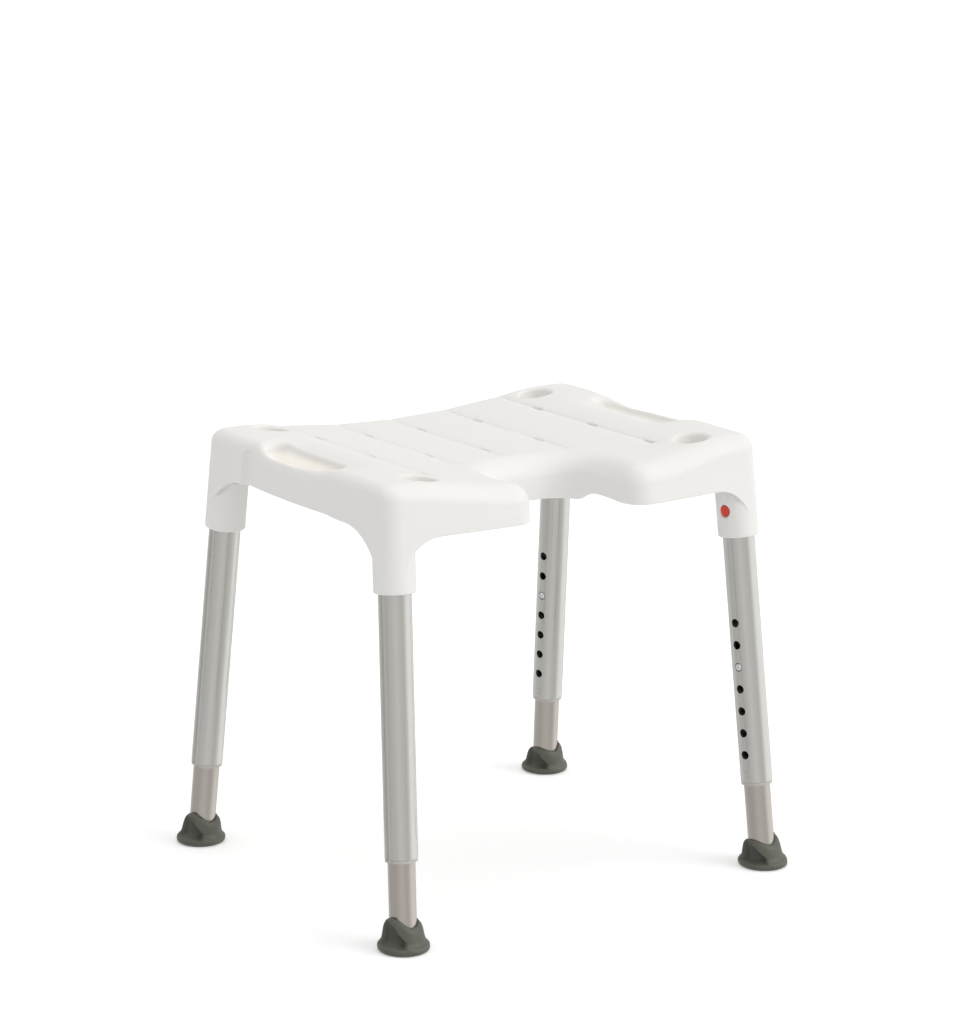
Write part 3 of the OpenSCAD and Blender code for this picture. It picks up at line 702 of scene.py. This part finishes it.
def skirtRows():
    # from the inside of the lower edge, round it, up the face and over the first part of the rim
    low = outline[:, 4]
    proud = s["proud"] * (1 - cornerShare)
    r = s["edgeRound"] * (1 - cornerShare) + 0.05
    rows = []

    def row(z, inset):
        rows.append(np.column_stack([facePoint(z) + inward * inset[:, None], z]))

    for up, less in ((8, 0.4), (0.8, 0.2), (0, 0.8)):
        row(low + up, s["wall"] - less + 0 * low)
    for a in np.radians((0, 30, 60, 90)):
        row(low + r * (1 - math.cos(a)), r * (1 - math.sin(a)) - proud)
    for t in [0.015] + np.linspace(0, 1, 17)[1:].tolist():
        z = low + r + (rimLow - low - r) * t
        row(z, -proud * (1 - ease((t - 0.4) / 0.6)))
    for a in (6, 11, s["rimFrom"]):
        rows.append(rimRow(a))
    return rows


def makeSeatSkin(shell):
    rows = skirtRows()
    added = [shell.add(row) for row in rows]
    for below, above in zip(added, added[1:]):
        shell.strip(below, above)
    # the top is one plan mesh through points round the rim, round the lips and on a grid
    rim = np.concatenate([rimRow(a)[:, :2] for a in (25, 34, 43, 52, 61, 70, 80, 90)])
    rings = np.concatenate([hole["loop"] + hole["out"] * (share * hole["lip"])[:, None]
                            for hole in cutouts for share in lipShares[hole["kind"]]])
    grid = planGrid()
    grid = grid[inLoop(grid, rimRow(90)[:, :2])]
    _, past = rimTerms(grid)
    _, clear = cutoutTerms(grid)
    holes = [hole["loop"] for hole in cutouts]
    grid = grid[(past > 1.5) & (clear > 1.6) & ~inLoops(grid, holes)]
    _, clear = cutoutTerms(rim)
    rim = rim[clear > 1.2]
    rings = rings[inLoop(rings, rimRow(22)[:, :2])]
    plan, tris = fillPlan(rows[-1][:, :2], holes, np.concatenate([rim, rings, grid]))
    height = seatHeight(plan)
    at = len(outline)
    index = np.concatenate([added[-1], shell.add(np.column_stack([plan, height])[at:])])
    shell.join(index[tris])
    for hole in cutouts:
        lip = slice(at, at + len(hole["loop"]))
        at = lip.stop
        above = index[lip]
        for row in wallRows(hole, height[lip]):
            below = shell.add(row)
            # painted glow on the wall rows of this cut-out
            shell.marks.append((below, paintedGlowShare[hole["kind"]]))
            shell.strip(below[::-1], above[::-1])
            above = below
        if hole["kind"] == "cup":
            centre = shell.add([np.append(hole["loop"].mean(0), row[0, 2])])
            shell.join(columns(above, np.roll(above, -1), centre))
    print("seat skin", shell.count, "points")


def wallRows(hole, z):
    # rows of points down the wall of a cut-out, from just under its lip
    loop, out = hole["loop"], hole["out"]
    rows = []

    def row(plan, height):
        rows.append(np.column_stack([plan, height + 0 * z]))

    if hole["kind"] == "cup":
        centre = loop.mean(0)
        floor = topZ(*centre) - cups["depth"]
        r = cups["fillet"]
        row(loop, z * 0.5 + (floor + r) * 0.5)
        for a in np.radians((0, 22, 45, 67, 90)):
            row(loop - out * (r * (1 - math.cos(a))), floor + r - r * math.sin(a))
        row(centre + (loop - centre) * 0.4, floor)
    elif hole["kind"] == "slot":
        low = s["height"] - s["slotDepth"]
        for t in (0.3, 0.65, 0.95, 1):
            row(loop + out * 0.35 * (t == 1), z + (low - z) * t)
    else:
        under = topZ(loop[:, 0], loop[:, 1]) - s["topWall"]
        row(loop, z * 0.5 + under * 0.5)
        row(loop, under)
    return rows


# ---- leg sockets

def legTurn(name):
    return math.radians(stance["turn"] + (180 if legs[name][0] < 0 else 0))


def legFrame(name):
    # matrix of the leg's own axes (x towards the tube groove, z up the leg) and its foot centre
    sx, sy = legs[name]
    up = Vector((-sx * stance["leanX"], -sy * stance["leanY"], 1))
    tilt = Vector((0, 0, 1)).rotation_difference(up.normalized()).to_matrix()
    turn = Matrix.Rotation(legTurn(name), 3, "Z")
    return np.array(tilt @ turn), np.array([sx * stance["footX"], sy * stance["footY"], 0.0])


def onLeg(name, points):
    turned, base = legFrame(name)
    return np.asarray(points, float) @ turned.T + base


def sheet(us, hs):
    # border loop and inner grid points of a sheet of arc length and height
    border = [(us, hs[0]), (us[-1], hs), (us[::-1], hs[-1]), (us[0], hs[::-1])]
    return np.concatenate([columns(*side)[:-1] for side in border]), gridPoints(us[1:-1], hs[1:-1])


upright = math.sqrt(1 + stance["leanX"] ** 2 + stance["leanY"] ** 2)
socket = {
    "radius": 22.3, "low": 373.3 * upright, "top": 452.0 * upright, "round": 1.6, "bore": 17.6,
    "buttonUp": 30.0,  # button above the lower end
    "buttonHole": 6.9, "dish": 9.4, "dishDeep": 1.5,  # radii of its hole and of the dish round it
    "steps": 72, "holeSteps": 48,
}


def addSocket(shell, name):
    # outside of a leg socket as a sheet with the button hole, then its lower edge and end face
    k, ringShape = socket, circle(socket["holeSteps"])
    around = 2 * math.pi * k["radius"]
    low, button = k["low"] + k["round"], k["low"] + k["buttonUp"]
    us = np.linspace(0, around, k["steps"] + 1)
    hs = np.concatenate([np.arange(low, button + 14, 1.9), np.arange(button + 15, k["top"], 6)])
    centre = np.array([around / 2, button])
    hole = centre + ringShape * k["buttonHole"]
    outer, loose = sheet(us, hs)
    loose = loose[np.hypot(*(loose - centre).T) > k["dish"] + 1.6]
    rings = [centre + ringShape * r for r in (7.2, 7.7, 8.3, 8.9, k["dish"], k["dish"] + 0.8)]
    plan, tris = fillPlan(outer, [hole], np.concatenate(rings + [loose]))
    reach = np.hypot(*(plan - centre).T)
    dent = k["dishDeep"] * ease((k["dish"] - reach) / (k["dish"] - k["buttonHole"] + 0.6))
    angle = plan[:, 0] / k["radius"]
    r = k["radius"] - dent
    local = columns(r * np.cos(angle), r * np.sin(angle), plan[:, 1])
    # the two long edges of the sheet meet: the far one takes the near one's points
    same = np.arange(len(plan))
    far = np.where(plan[:, 0] > around - 1e-3)[0]
    near = np.where(plan[:, 0] < 1e-3)[0]
    same[far] = near[np.abs(plan[far, 1][:, None] - plan[near, 1][None]).argmin(1)]
    index = shell.add(onLeg(name, local), same[tris])
    edge = index[:k["steps"]]
    for b in np.radians((30, 60, 90)):
        r, z = k["radius"] - k["round"] * (1 - math.cos(b)), low - k["round"] * math.sin(b)
        edge = socketRing(shell, name, r, z, edge)
    for r, z in ((k["bore"] + 0.5, k["low"]), (k["bore"], k["low"] + 0.5), (k["bore"], k["low"] + 6)):
        edge = socketRing(shell, name, r, z, edge)
    # wall of the button hole
    rim = slice(len(outer), len(outer) + len(hole))
    shell.strip(index[rim], shell.add(onLeg(name, local[rim] * [0.9, 0.9, 1])))


def socketRing(shell, name, r, z, above):
    # ring of points on a leg, joined to the one above
    a = np.arange(socket["steps"]) * 2 * math.pi / socket["steps"]
    below = shell.add(onLeg(name, columns(r * np.cos(a), r * np.sin(a), z)))
    shell.strip(below, above)
    return below


def readAll(items, key, kind):
    # a three-value property of every item of a mesh
    values = np.empty(len(items) * 3, kind)
    items.foreach_get(key, values)
    return values.reshape(-1, 3)


hollow = {
    "near": 1.8,  # a CAD face this close to the skin is covered by it,
    "far": (6, 7),  # or one at most this far outside it and away from it
    "topFrom": 450,  # above this height a face belongs to the top
    "topWall": 2.4,  # least distance from the top face to the underside
}


def addHollow(shell):
    # the underside is taken over from the CAD solid: every face that the skin doesn't cover
    points, faces = shell.arrays()
    tree = BVHTree.FromPolygons(points.tolist(), faces.tolist())
    source = bpy.data.objects["seat"].data
    source.calc_loop_triangles()
    spots = readAll(source.vertices, "co", float) / mm
    tris = readAll(source.loop_triangles, "vertices", int)
    a, b, c = (spots[tris[:, i]] for i in range(3))
    normal = np.cross(b - a, c - a)
    normal /= np.maximum(np.linalg.norm(normal, axis=1), 1e-9)[:, None]
    middle = (a + b + c) / 3
    keep = np.ones(len(tris), bool)
    lipFaces = 4 * len(outline)  # the skin's first two strips, behind the skirt, hide nothing
    reach, limit = hollow["far"]
    for i, (spot, facing) in enumerate(zip(middle, normal)):
        place, skinFacing, found, gap = tree.find_nearest(Vector(spot))
        outside = (Vector(spot) - place).dot(skinFacing)
        close = gap < hollow["near"] or (0 < outside < reach and gap < limit)
        keep[i] = not (found >= lipFaces and skinFacing.dot(Vector(facing)) > 0.2 and close)
    plan = middle[:, :2]
    depth = seatHeight(plan) - middle[:, 2]
    _, past = rimTerms(plan)
    top = (past > -2) & (middle[:, 2] > hollow["topFrom"]) & (depth < 12)
    keep &= ~(top & (normal[:, 2] > 0.15)) & ~(top & (depth < hollow["topWall"]) & (normal[:, 2] > -0.4))
    used, back = np.unique(tris[keep], return_inverse=True)
    kept = spots[used]
    high = seatHeight(kept[:, :2]) - hollow["topWall"]
    inside = inLoop(kept[:, :2], rimRow(30)[:, :2]) & (kept[:, 2] > hollow["topFrom"])
    kept[:, 2] = np.where(inside, np.minimum(kept[:, 2], high), kept[:, 2])
    # behind the skirt the kept faces stay inside its wall and above its lower edge
    k = nearest(kept[:, :2], rimFoot)
    low = outline[k, 4]
    up = np.clip((kept[:, 2] - low) / (rimLow[k] - low), 0, 1)[:, None]
    lowFoot = facePoint(outline[:, 4])
    inset = ((kept[:, :2] - lowFoot[k] - (rimFoot[k] - lowFoot[k]) * up) * inward[k]).sum(-1)
    skirt = (np.abs(inset) < 9) & (cornerShare[k] < 0.02) & (kept[:, 2] < rimLow[k] + 4)
    kept[:, :2] += inward[k] * (np.maximum(s["wall"] - 0.3 - inset, 0) * skirt)[:, None]
    kept[:, 2] = np.where(skirt, np.maximum(kept[:, 2], low + 0.3), kept[:, 2])
    shell.add(kept, back.reshape(-1, 3))
    print("hollow faces kept", int(keep.sum()), "of", len(tris))


def finishMesh(name, points, faces, material, sharpFrom=None):
    mesh = bpy.data.meshes.new(name)
    mesh.from_pydata(points * mm, [], faces)
    mesh.polygons.foreach_set("use_smooth", np.ones(len(faces), bool))
    mesh.validate()
    if sharpFrom is not None:
        mesh.set_sharp_from_angle(angle=math.radians(sharpFrom))
    mesh.materials.append(material)
    return link(name, mesh)


def markPoints(piece, shell):
    # the shares of painted glow and painted shade go to the mesh as a point attribute
    values = np.zeros(len(piece.data.vertices))
    for index, share in shell.marks:
        values[index] = share
    piece.data.attributes.new("mark", "FLOAT", "POINT").data.foreach_set("value", values)


seatShell = Shell()
makeSeatSkin(seatShell)
for leg in legs:
    addSocket(seatShell, leg)
addHollow(seatShell)
seatPiece = finishMesh("seatShell", *seatShell.arrays(), seatPlastic, 50)
markPoints(seatPiece, seatShell)
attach(seatPiece, "seat_frame")
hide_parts("seat")
print("seat done", len(seatPiece.data.polygons), "triangles")


# ---- metal, rubber and plastic finishes

metals = {
    "legTube": {"colour": (0.650, 0.640, 0.605, 1), "streak": (0.595, 0.586, 0.553, 1), "rough": 0.22},
    "extensionTube": {"colour": (0.545, 0.505, 0.460, 1), "streak": (0.500, 0.462, 0.420, 1), "rough": 0.30},
}
# patterns per metre: drawing lines, broad streaks, clouds of the anodising, grain
metalPatterns = {"lines": 1400, "broad": 260, "cloud": 40, "grain": 4200, "stretch": (1, 1, 0.02)}


def makeTubeMaterial(kind, name, finish):
    # satin anodised aluminium, drawn lengthwise
    material = bpy.data.materials.new(kind + "_" + name)
    g = Graph(material)
    # position in the leg's own axes, so that streaks run along the tube
    turned, base = legFrame(name)
    place = g.node("ShaderNodeMapping", {"vector_type": "TEXTURE"}, {
        "Vector": objectPlace(g), "Location": Vector(base * mm), "Rotation": Matrix(turned).to_euler("XYZ")})
    m = metalPatterns
    stretched = g.node("ShaderNodeVectorMath", {"operation": "MULTIPLY"}, {0: place, 1: m["stretch"]})
    lines = noise(g, stretched, m["lines"], 3, 0.6)
    broad = noise(g, stretched, m["broad"], 2)
    cloud = noise(g, place, m["cloud"], 4)
    grain = noise(g, place, m["grain"], 1)
    principled(g, {
        "Base Color": mixColour(g, broad * 0.7 + cloud * 0.3, finish["colour"], finish["streak"]),
        "Metallic": 0.92,
        "Roughness": lines * 0.12 + cloud * 0.06 + (finish["rough"] - 0.09),
        "Normal": fineBump(g, lines * 0.6 + grain * 0.4, 0.12, 0.0001),
    })
    return material


def makePlainMaterial(name, setup):
    # moulded or turned part: slow tint, fine grain, a little change of roughness, and painted shade as a darker
    # colour where the mesh carries it
    material = bpy.data.materials.new(name)
    g = Graph(material)
    place = objectPlace(g)
    cloud = noise(g, place, setup["cloud"], 3)
    grain = noise(g, place, setup["grain"], 2)
    colour = mixColour(g, cloud, setup["colour"], setup["tint"])
    # painted shade: a darker colour in the feet's scoops, where shade falls
    if "paintedShade" in setup:
        colour = mixColour(g, paintedLightShare(g) * 0.8, colour, setup["paintedShade"])
    principled(g, {
        "Base Color": colour,
        "Metallic": setup.get("metal", 0.0),
        "Roughness": grain * 0.08 + cloud * 0.06 + (setup["rough"] - 0.07),
        "Normal": fineBump(g, grain, setup.get("bump", 0.15), 0.0002),
        "Coat Weight": setup.get("coat", 0.0),
    })
    return material


plainFinishes = {
    "bushPlastic": {"colour": (0.550, 0.520, 0.480, 1), "tint": (0.53, 0.50, 0.46, 1), "rough": 0.45,
                    "cloud": 60, "grain": 1800},
    # the feet's second, darker colour is painted shade in the scoops
    "footRubber": {"colour": (0.104, 0.110, 0.084, 1), "tint": (0.086, 0.091, 0.069, 1), "rough": 0.50,
                   "cloud": 45, "grain": 1500, "bump": 0.25, "paintedShade": (0.046, 0.049, 0.037, 1)},
    "pinSteel": {"colour": (0.78, 0.78, 0.78, 1), "tint": (0.70, 0.70, 0.70, 1), "rough": 0.17,
                 "cloud": 200, "grain": 3000, "metal": 1.0, "bump": 0.05},
    "buttonPlastic": {"colour": (0.76, 0.045, 0.014, 1), "tint": (0.70, 0.038, 0.012, 1), "rough": 0.34,
                      "cloud": 120, "grain": 2500, "bump": 0.08, "coat": 0.2},
    "springSteel": {"colour": (0.42, 0.43, 0.45, 1), "tint": (0.35, 0.36, 0.38, 1), "rough": 0.33,
                    "cloud": 150, "grain": 2600, "metal": 1.0, "bump": 0.1},
}
plain = {name: makePlainMaterial(name, setup) for name, setup in plainFinishes.items()}
# finishes of the pieces that keep their CAD shape
cadFinish = {"guide_bush_": "bushPlastic", "height_pin_": "pinSteel", "pin_spring_": "springSteel",
             "release_button_": "buttonPlastic", "release_spring_": "springSteel"}


def dress(node, material):
    # a CAD node's object gets a finish of its own
    holder = bpy.data.objects[node]
    for place in holder.material_slots:
        place.link = "OBJECT"
        place.material = material


for leg in legs:
    for prefix, finish in cadFinish.items():
        dress(prefix + leg, plain[finish])
print("finishes made")


# ---- tubes

legTube = {
    "kind": "legTube", "radius": 17.5, "wall": 1.8, "low": 97.1, "top": 458.0, "slot": "leg_tube",
    "turn": -4.3, "half": 10.6,  # groove: turned from the leg's own axis, half angle in degrees
    "deep": 1.5, "lip": 0.35,  # depth of the groove, rounding of its edges
    # height up the leg and radius: height holes, stud of the guide bush, button
    "holes": [(279.4 - 25 * i, 4.8) for i in range(7)] + [(107.5, 3.0), (405.6, 4.4)],
}
extensionTube = {
    "kind": "extensionTube", "radius": 14.5, "wall": 1.6, "low": 14.0, "top": 244.0, "slot": "extension_tube",
    "turn": 3.0, "half": 18.5, "deep": 0, "lip": 0.2,
    "holes": [(229.4 - 25 * i, 4.35) for i in range(5)],
}
tubeSteps = {"arc": 106, "rows": 24, "hole": 40, "end": 0.4}  # points round, along, round a hole; end bevel


def tubeSection(tube):
    # round section with a groove or a flat about +x, where the seam is: x, y and the outward normal
    r, lip, a = tube["radius"], tube["lip"], math.radians(tube["half"])
    x, y = r * math.cos(a), r * math.sin(a)
    arcs = np.linspace(a + lip / r, 2 * math.pi - a - lip / r, tubeSteps["arc"])
    ring = columns(r * np.cos(arcs), r * np.sin(arcs), np.cos(arcs), np.sin(arcs))
    if tube["deep"]:
        floor = r - tube["deep"]
        half = [(floor, 0, 1, 0), (floor, (y - lip) * 0.5, 1, 0), (floor, y - 2 * lip, 1, 0),
                (floor + 0.1, y - lip, 0.5, -0.86), (floor + lip, y - lip * 0.9, 0, -1),
                (x - lip * 0.6, y - lip * 0.9, 0, -1), (x - lip * 0.15, y - lip * 0.4, 0.7, -0.7)]
    else:
        half = [(x, 0, 1, 0), (x, y * 0.5, 1, 0), (x, y - lip, 1, 0)]
    otherHalf = [(px, -py, nx, -ny) for px, py, nx, ny in half[::-1]]
    rows = np.concatenate([half, ring, otherHalf])
    turn = math.radians(tube["turn"])
    spin = np.array([[math.cos(turn), math.sin(turn)], [-math.sin(turn), math.cos(turn)]])
    return np.concatenate([rows[:, :2] @ spin, rows[:, 2:] @ spin], 1)


def makeTube(name, tube, rides):
    # outside of the tube as a sheet with its holes, the same sheet a wall further in, and the faces
    # between them; every point has its own normal
    rows = tubeSection(tube)
    along = np.concatenate([[0], np.cumsum(np.hypot(*np.diff(rows[:, :2], axis=0).T))])
    angle = np.unwrap(np.arctan2(rows[:, 1], rows[:, 0]))
    back = np.interp(math.pi, angle, along)  # the holes are on the side away from the groove
    end, count = tubeSteps["end"], tubeSteps["hole"]
    outer, loose = sheet(along, np.linspace(tube["low"] + end, tube["top"], tubeSteps["rows"]))
    across, up = circle(count).T
    holes, rings = [], []
    for z, r in tube["holes"]:
        centre = np.array([back, z])
        loose = loose[np.hypot(*(loose - centre).T) > r * 1.7 + 0.8]
        # the bore is straight, so its loop on the sheet is a little wider than round
        reach = tube["radius"] * np.arcsin(np.clip(across * r / tube["radius"], -1, 1))
        holes.append(centre + columns(reach, up * r))
        rings += [centre + circle(count) * r * k for k in (1.2, 1.7)]
    plan, tris = fillPlan(outer, holes, np.concatenate(rings + [loose]))
    x, y, nx, ny = (np.interp(plan[:, 0], along, rows[:, c]) for c in range(4))
    size = np.hypot(nx, ny)
    nx, ny = nx / size, ny / size
    isArc = np.abs(np.hypot(x, y) - tube["radius"]) < 0.06
    grow = np.where(isArc, tube["radius"] / np.hypot(x, y), 1)
    face = columns(x * grow, y * grow, plan[:, 1])
    out = columns(nx, ny, 0)
    shell, normals = Shell(), []

    def put(points, facing, faces=None):
        normals.append(np.broadcast_to(facing, np.shape(points)))
        return shell.add(points, faces)

    put(face, out, tris)
    put(face - out * tube["wall"], -out, tris[:, ::-1])
    for at in range(len(outer), len(outer) + count * len(holes), count):
        ring, step = face[at:at + count], out[at:at + count] * tube["wall"]
        facing = columns(0, across, -up)
        shell.strip(put(ring, facing), put(ring - step, facing))
    # lower end: bevel, end face and the start of the inside, each as inset and drop of its two rings
    n = len(along) - 1
    edge, facing, wall = face[:n], out[:n], tube["wall"]
    slant = (facing - [0, 0, 1.0]) * 0.7071
    for look, *sides in ((slant, (0, 0), (end, end)), ([0, 0, -1.0], (end, end), (wall, end)),
                         (-facing, (wall, end), (wall, 0))):
        above, below = (put(edge - facing * inset - [0, 0, drop], look) for inset, drop in sides)
        shell.strip(below, above)
    points, faces = shell.arrays()
    turned, _ = legFrame(name)
    piece = finishMesh(tube["kind"] + "_" + name, onLeg(name, points), faces,
                       makeTubeMaterial(tube["kind"], name, metals[tube["kind"]]))
    facing = np.concatenate(normals) @ turned.T
    piece.data.normals_split_custom_set_from_vertices(facing.tolist())
    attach(piece, rides)
    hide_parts(tube["slot"] + "_" + name)


for leg in legs:
    makeTube(leg, legTube, "seat_frame")
    makeTube(leg, extensionTube, "extension_" + leg)
print("tubes done")


# ---- feet

foot = {
    "tube": 14.55,  # radius of its bore
    "high": 36.5, "highBack": 31.0, "low": 26.0,  # height of the rim above the two scoops and between them
    "scoopTurn": 8, "scoopHalf": 42,  # degrees
    # share of the collar's height, radius on the ridges, radius in the scoops
    "profile": [(0, 25.2, 25.2), (0.03, 26.6, 26.6), (0.08, 27.5, 27.5), (0.15, 27.7, 27.6), (0.21, 27.3, 26.4),
                (0.27, 26.3, 22.4), (0.34, 24.2, 18.6), (0.44, 22.8, 17.0), (0.56, 22.1, 16.7), (0.70, 21.3, 16.8),
                (0.84, 20.2, 17.1), (0.94, 18.6, 17.1), (0.985, 17.3, 16.8), (1.0, 16.4, 16.2)],
    "steps": 144,
}


def bend(values, count):
    # smooth curve through rows of values (Catmull-Rom), resampled to count rows
    v = np.asarray(values, float)
    v = np.concatenate([2 * v[:1] - v[1:2], v, 2 * v[-1:] - v[-2:-1]])
    at = np.linspace(0, len(v) - 3 - 1e-9, count)
    i = at.astype(int)
    t = (at - i)[:, None]
    a, b, c, d = v[i], v[i + 1], v[i + 2], v[i + 3]
    return 0.5 * (2 * b + (c - a) * t + (2 * a - 5 * b + 4 * c - d) * t ** 2 + (3 * b - 3 * c + d - a) * t ** 3)


def makeFoot(name):
    # the collar's rim rises above the two scoops, h = low + range * cos a squared; each height share has a
    # ridge radius and a scoop radius, blended by a smooth step at the scoop's half width
    sx, sy = legs[name]
    f = foot
    a = np.linspace(0, 2 * math.pi, f["steps"], endpoint=False)
    rim = f["low"] + np.where(np.cos(a) > 0, f["high"] - f["low"], f["highBack"] - f["low"]) * np.cos(a) ** 2
    turn = legTurn(name)
    shell = Shell()

    def ring(r, z):
        x = -sx * stance["leanX"] * z + r * np.cos(a + turn) + sx * stance["footX"]
        y = -sy * stance["leanY"] * z + r * np.sin(a + turn) + sy * stance["footY"]
        return shell.add(columns(x, y, z))

    rows = [ring(r, z) for r, z in ((21, 0.9), (22, 0), (24.2, 0))]
    for share, ridge, dip in bend(f["profile"], 44):
        # the scoop is a leaf: one edge stays in place, the other comes towards it as it rises
        shut = 15 * float(ease((share - 0.4) / 0.35)) + 15 * float(ease((share - 0.72) / 0.22))
        off = np.abs((np.degrees(a) - f["scoopTurn"] + shut + 90) % 180 - 90)
        scoop = ease((f["scoopHalf"] - shut + 4 - off) / 9)
        rows.append(ring(ridge * (1 - scoop) + dip * scoop, max(share, 0) * rim + 0.25))
        # painted shade in the scoops, strongest where they are deepest
        shell.marks.append((rows[-1], scoop * ease((ridge - dip) / 3)))
    for r, up in ((15.6, 0.35), (14.9, 0.1), (14.62, -0.6), (f["tube"] + 0.03, -2.0), (f["tube"] + 0.03, -9.0)):
        rows.append(ring(r, rim + up))
    for below, above in zip(rows, rows[1:]):
        shell.strip(below, above)
    middle = shell.add([[sx * stance["footX"], sy * stance["footY"], 0.9]])
    shell.join(columns(np.roll(rows[0], -1), rows[0], middle))
    piece = finishMesh("footPad_" + name, *shell.arrays(), plain["footRubber"])
    markPoints(piece, shell)
    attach(piece, "extension_" + name)
    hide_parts("foot_" + name)


for leg in legs:
    makeFoot(leg)
print("feet done")
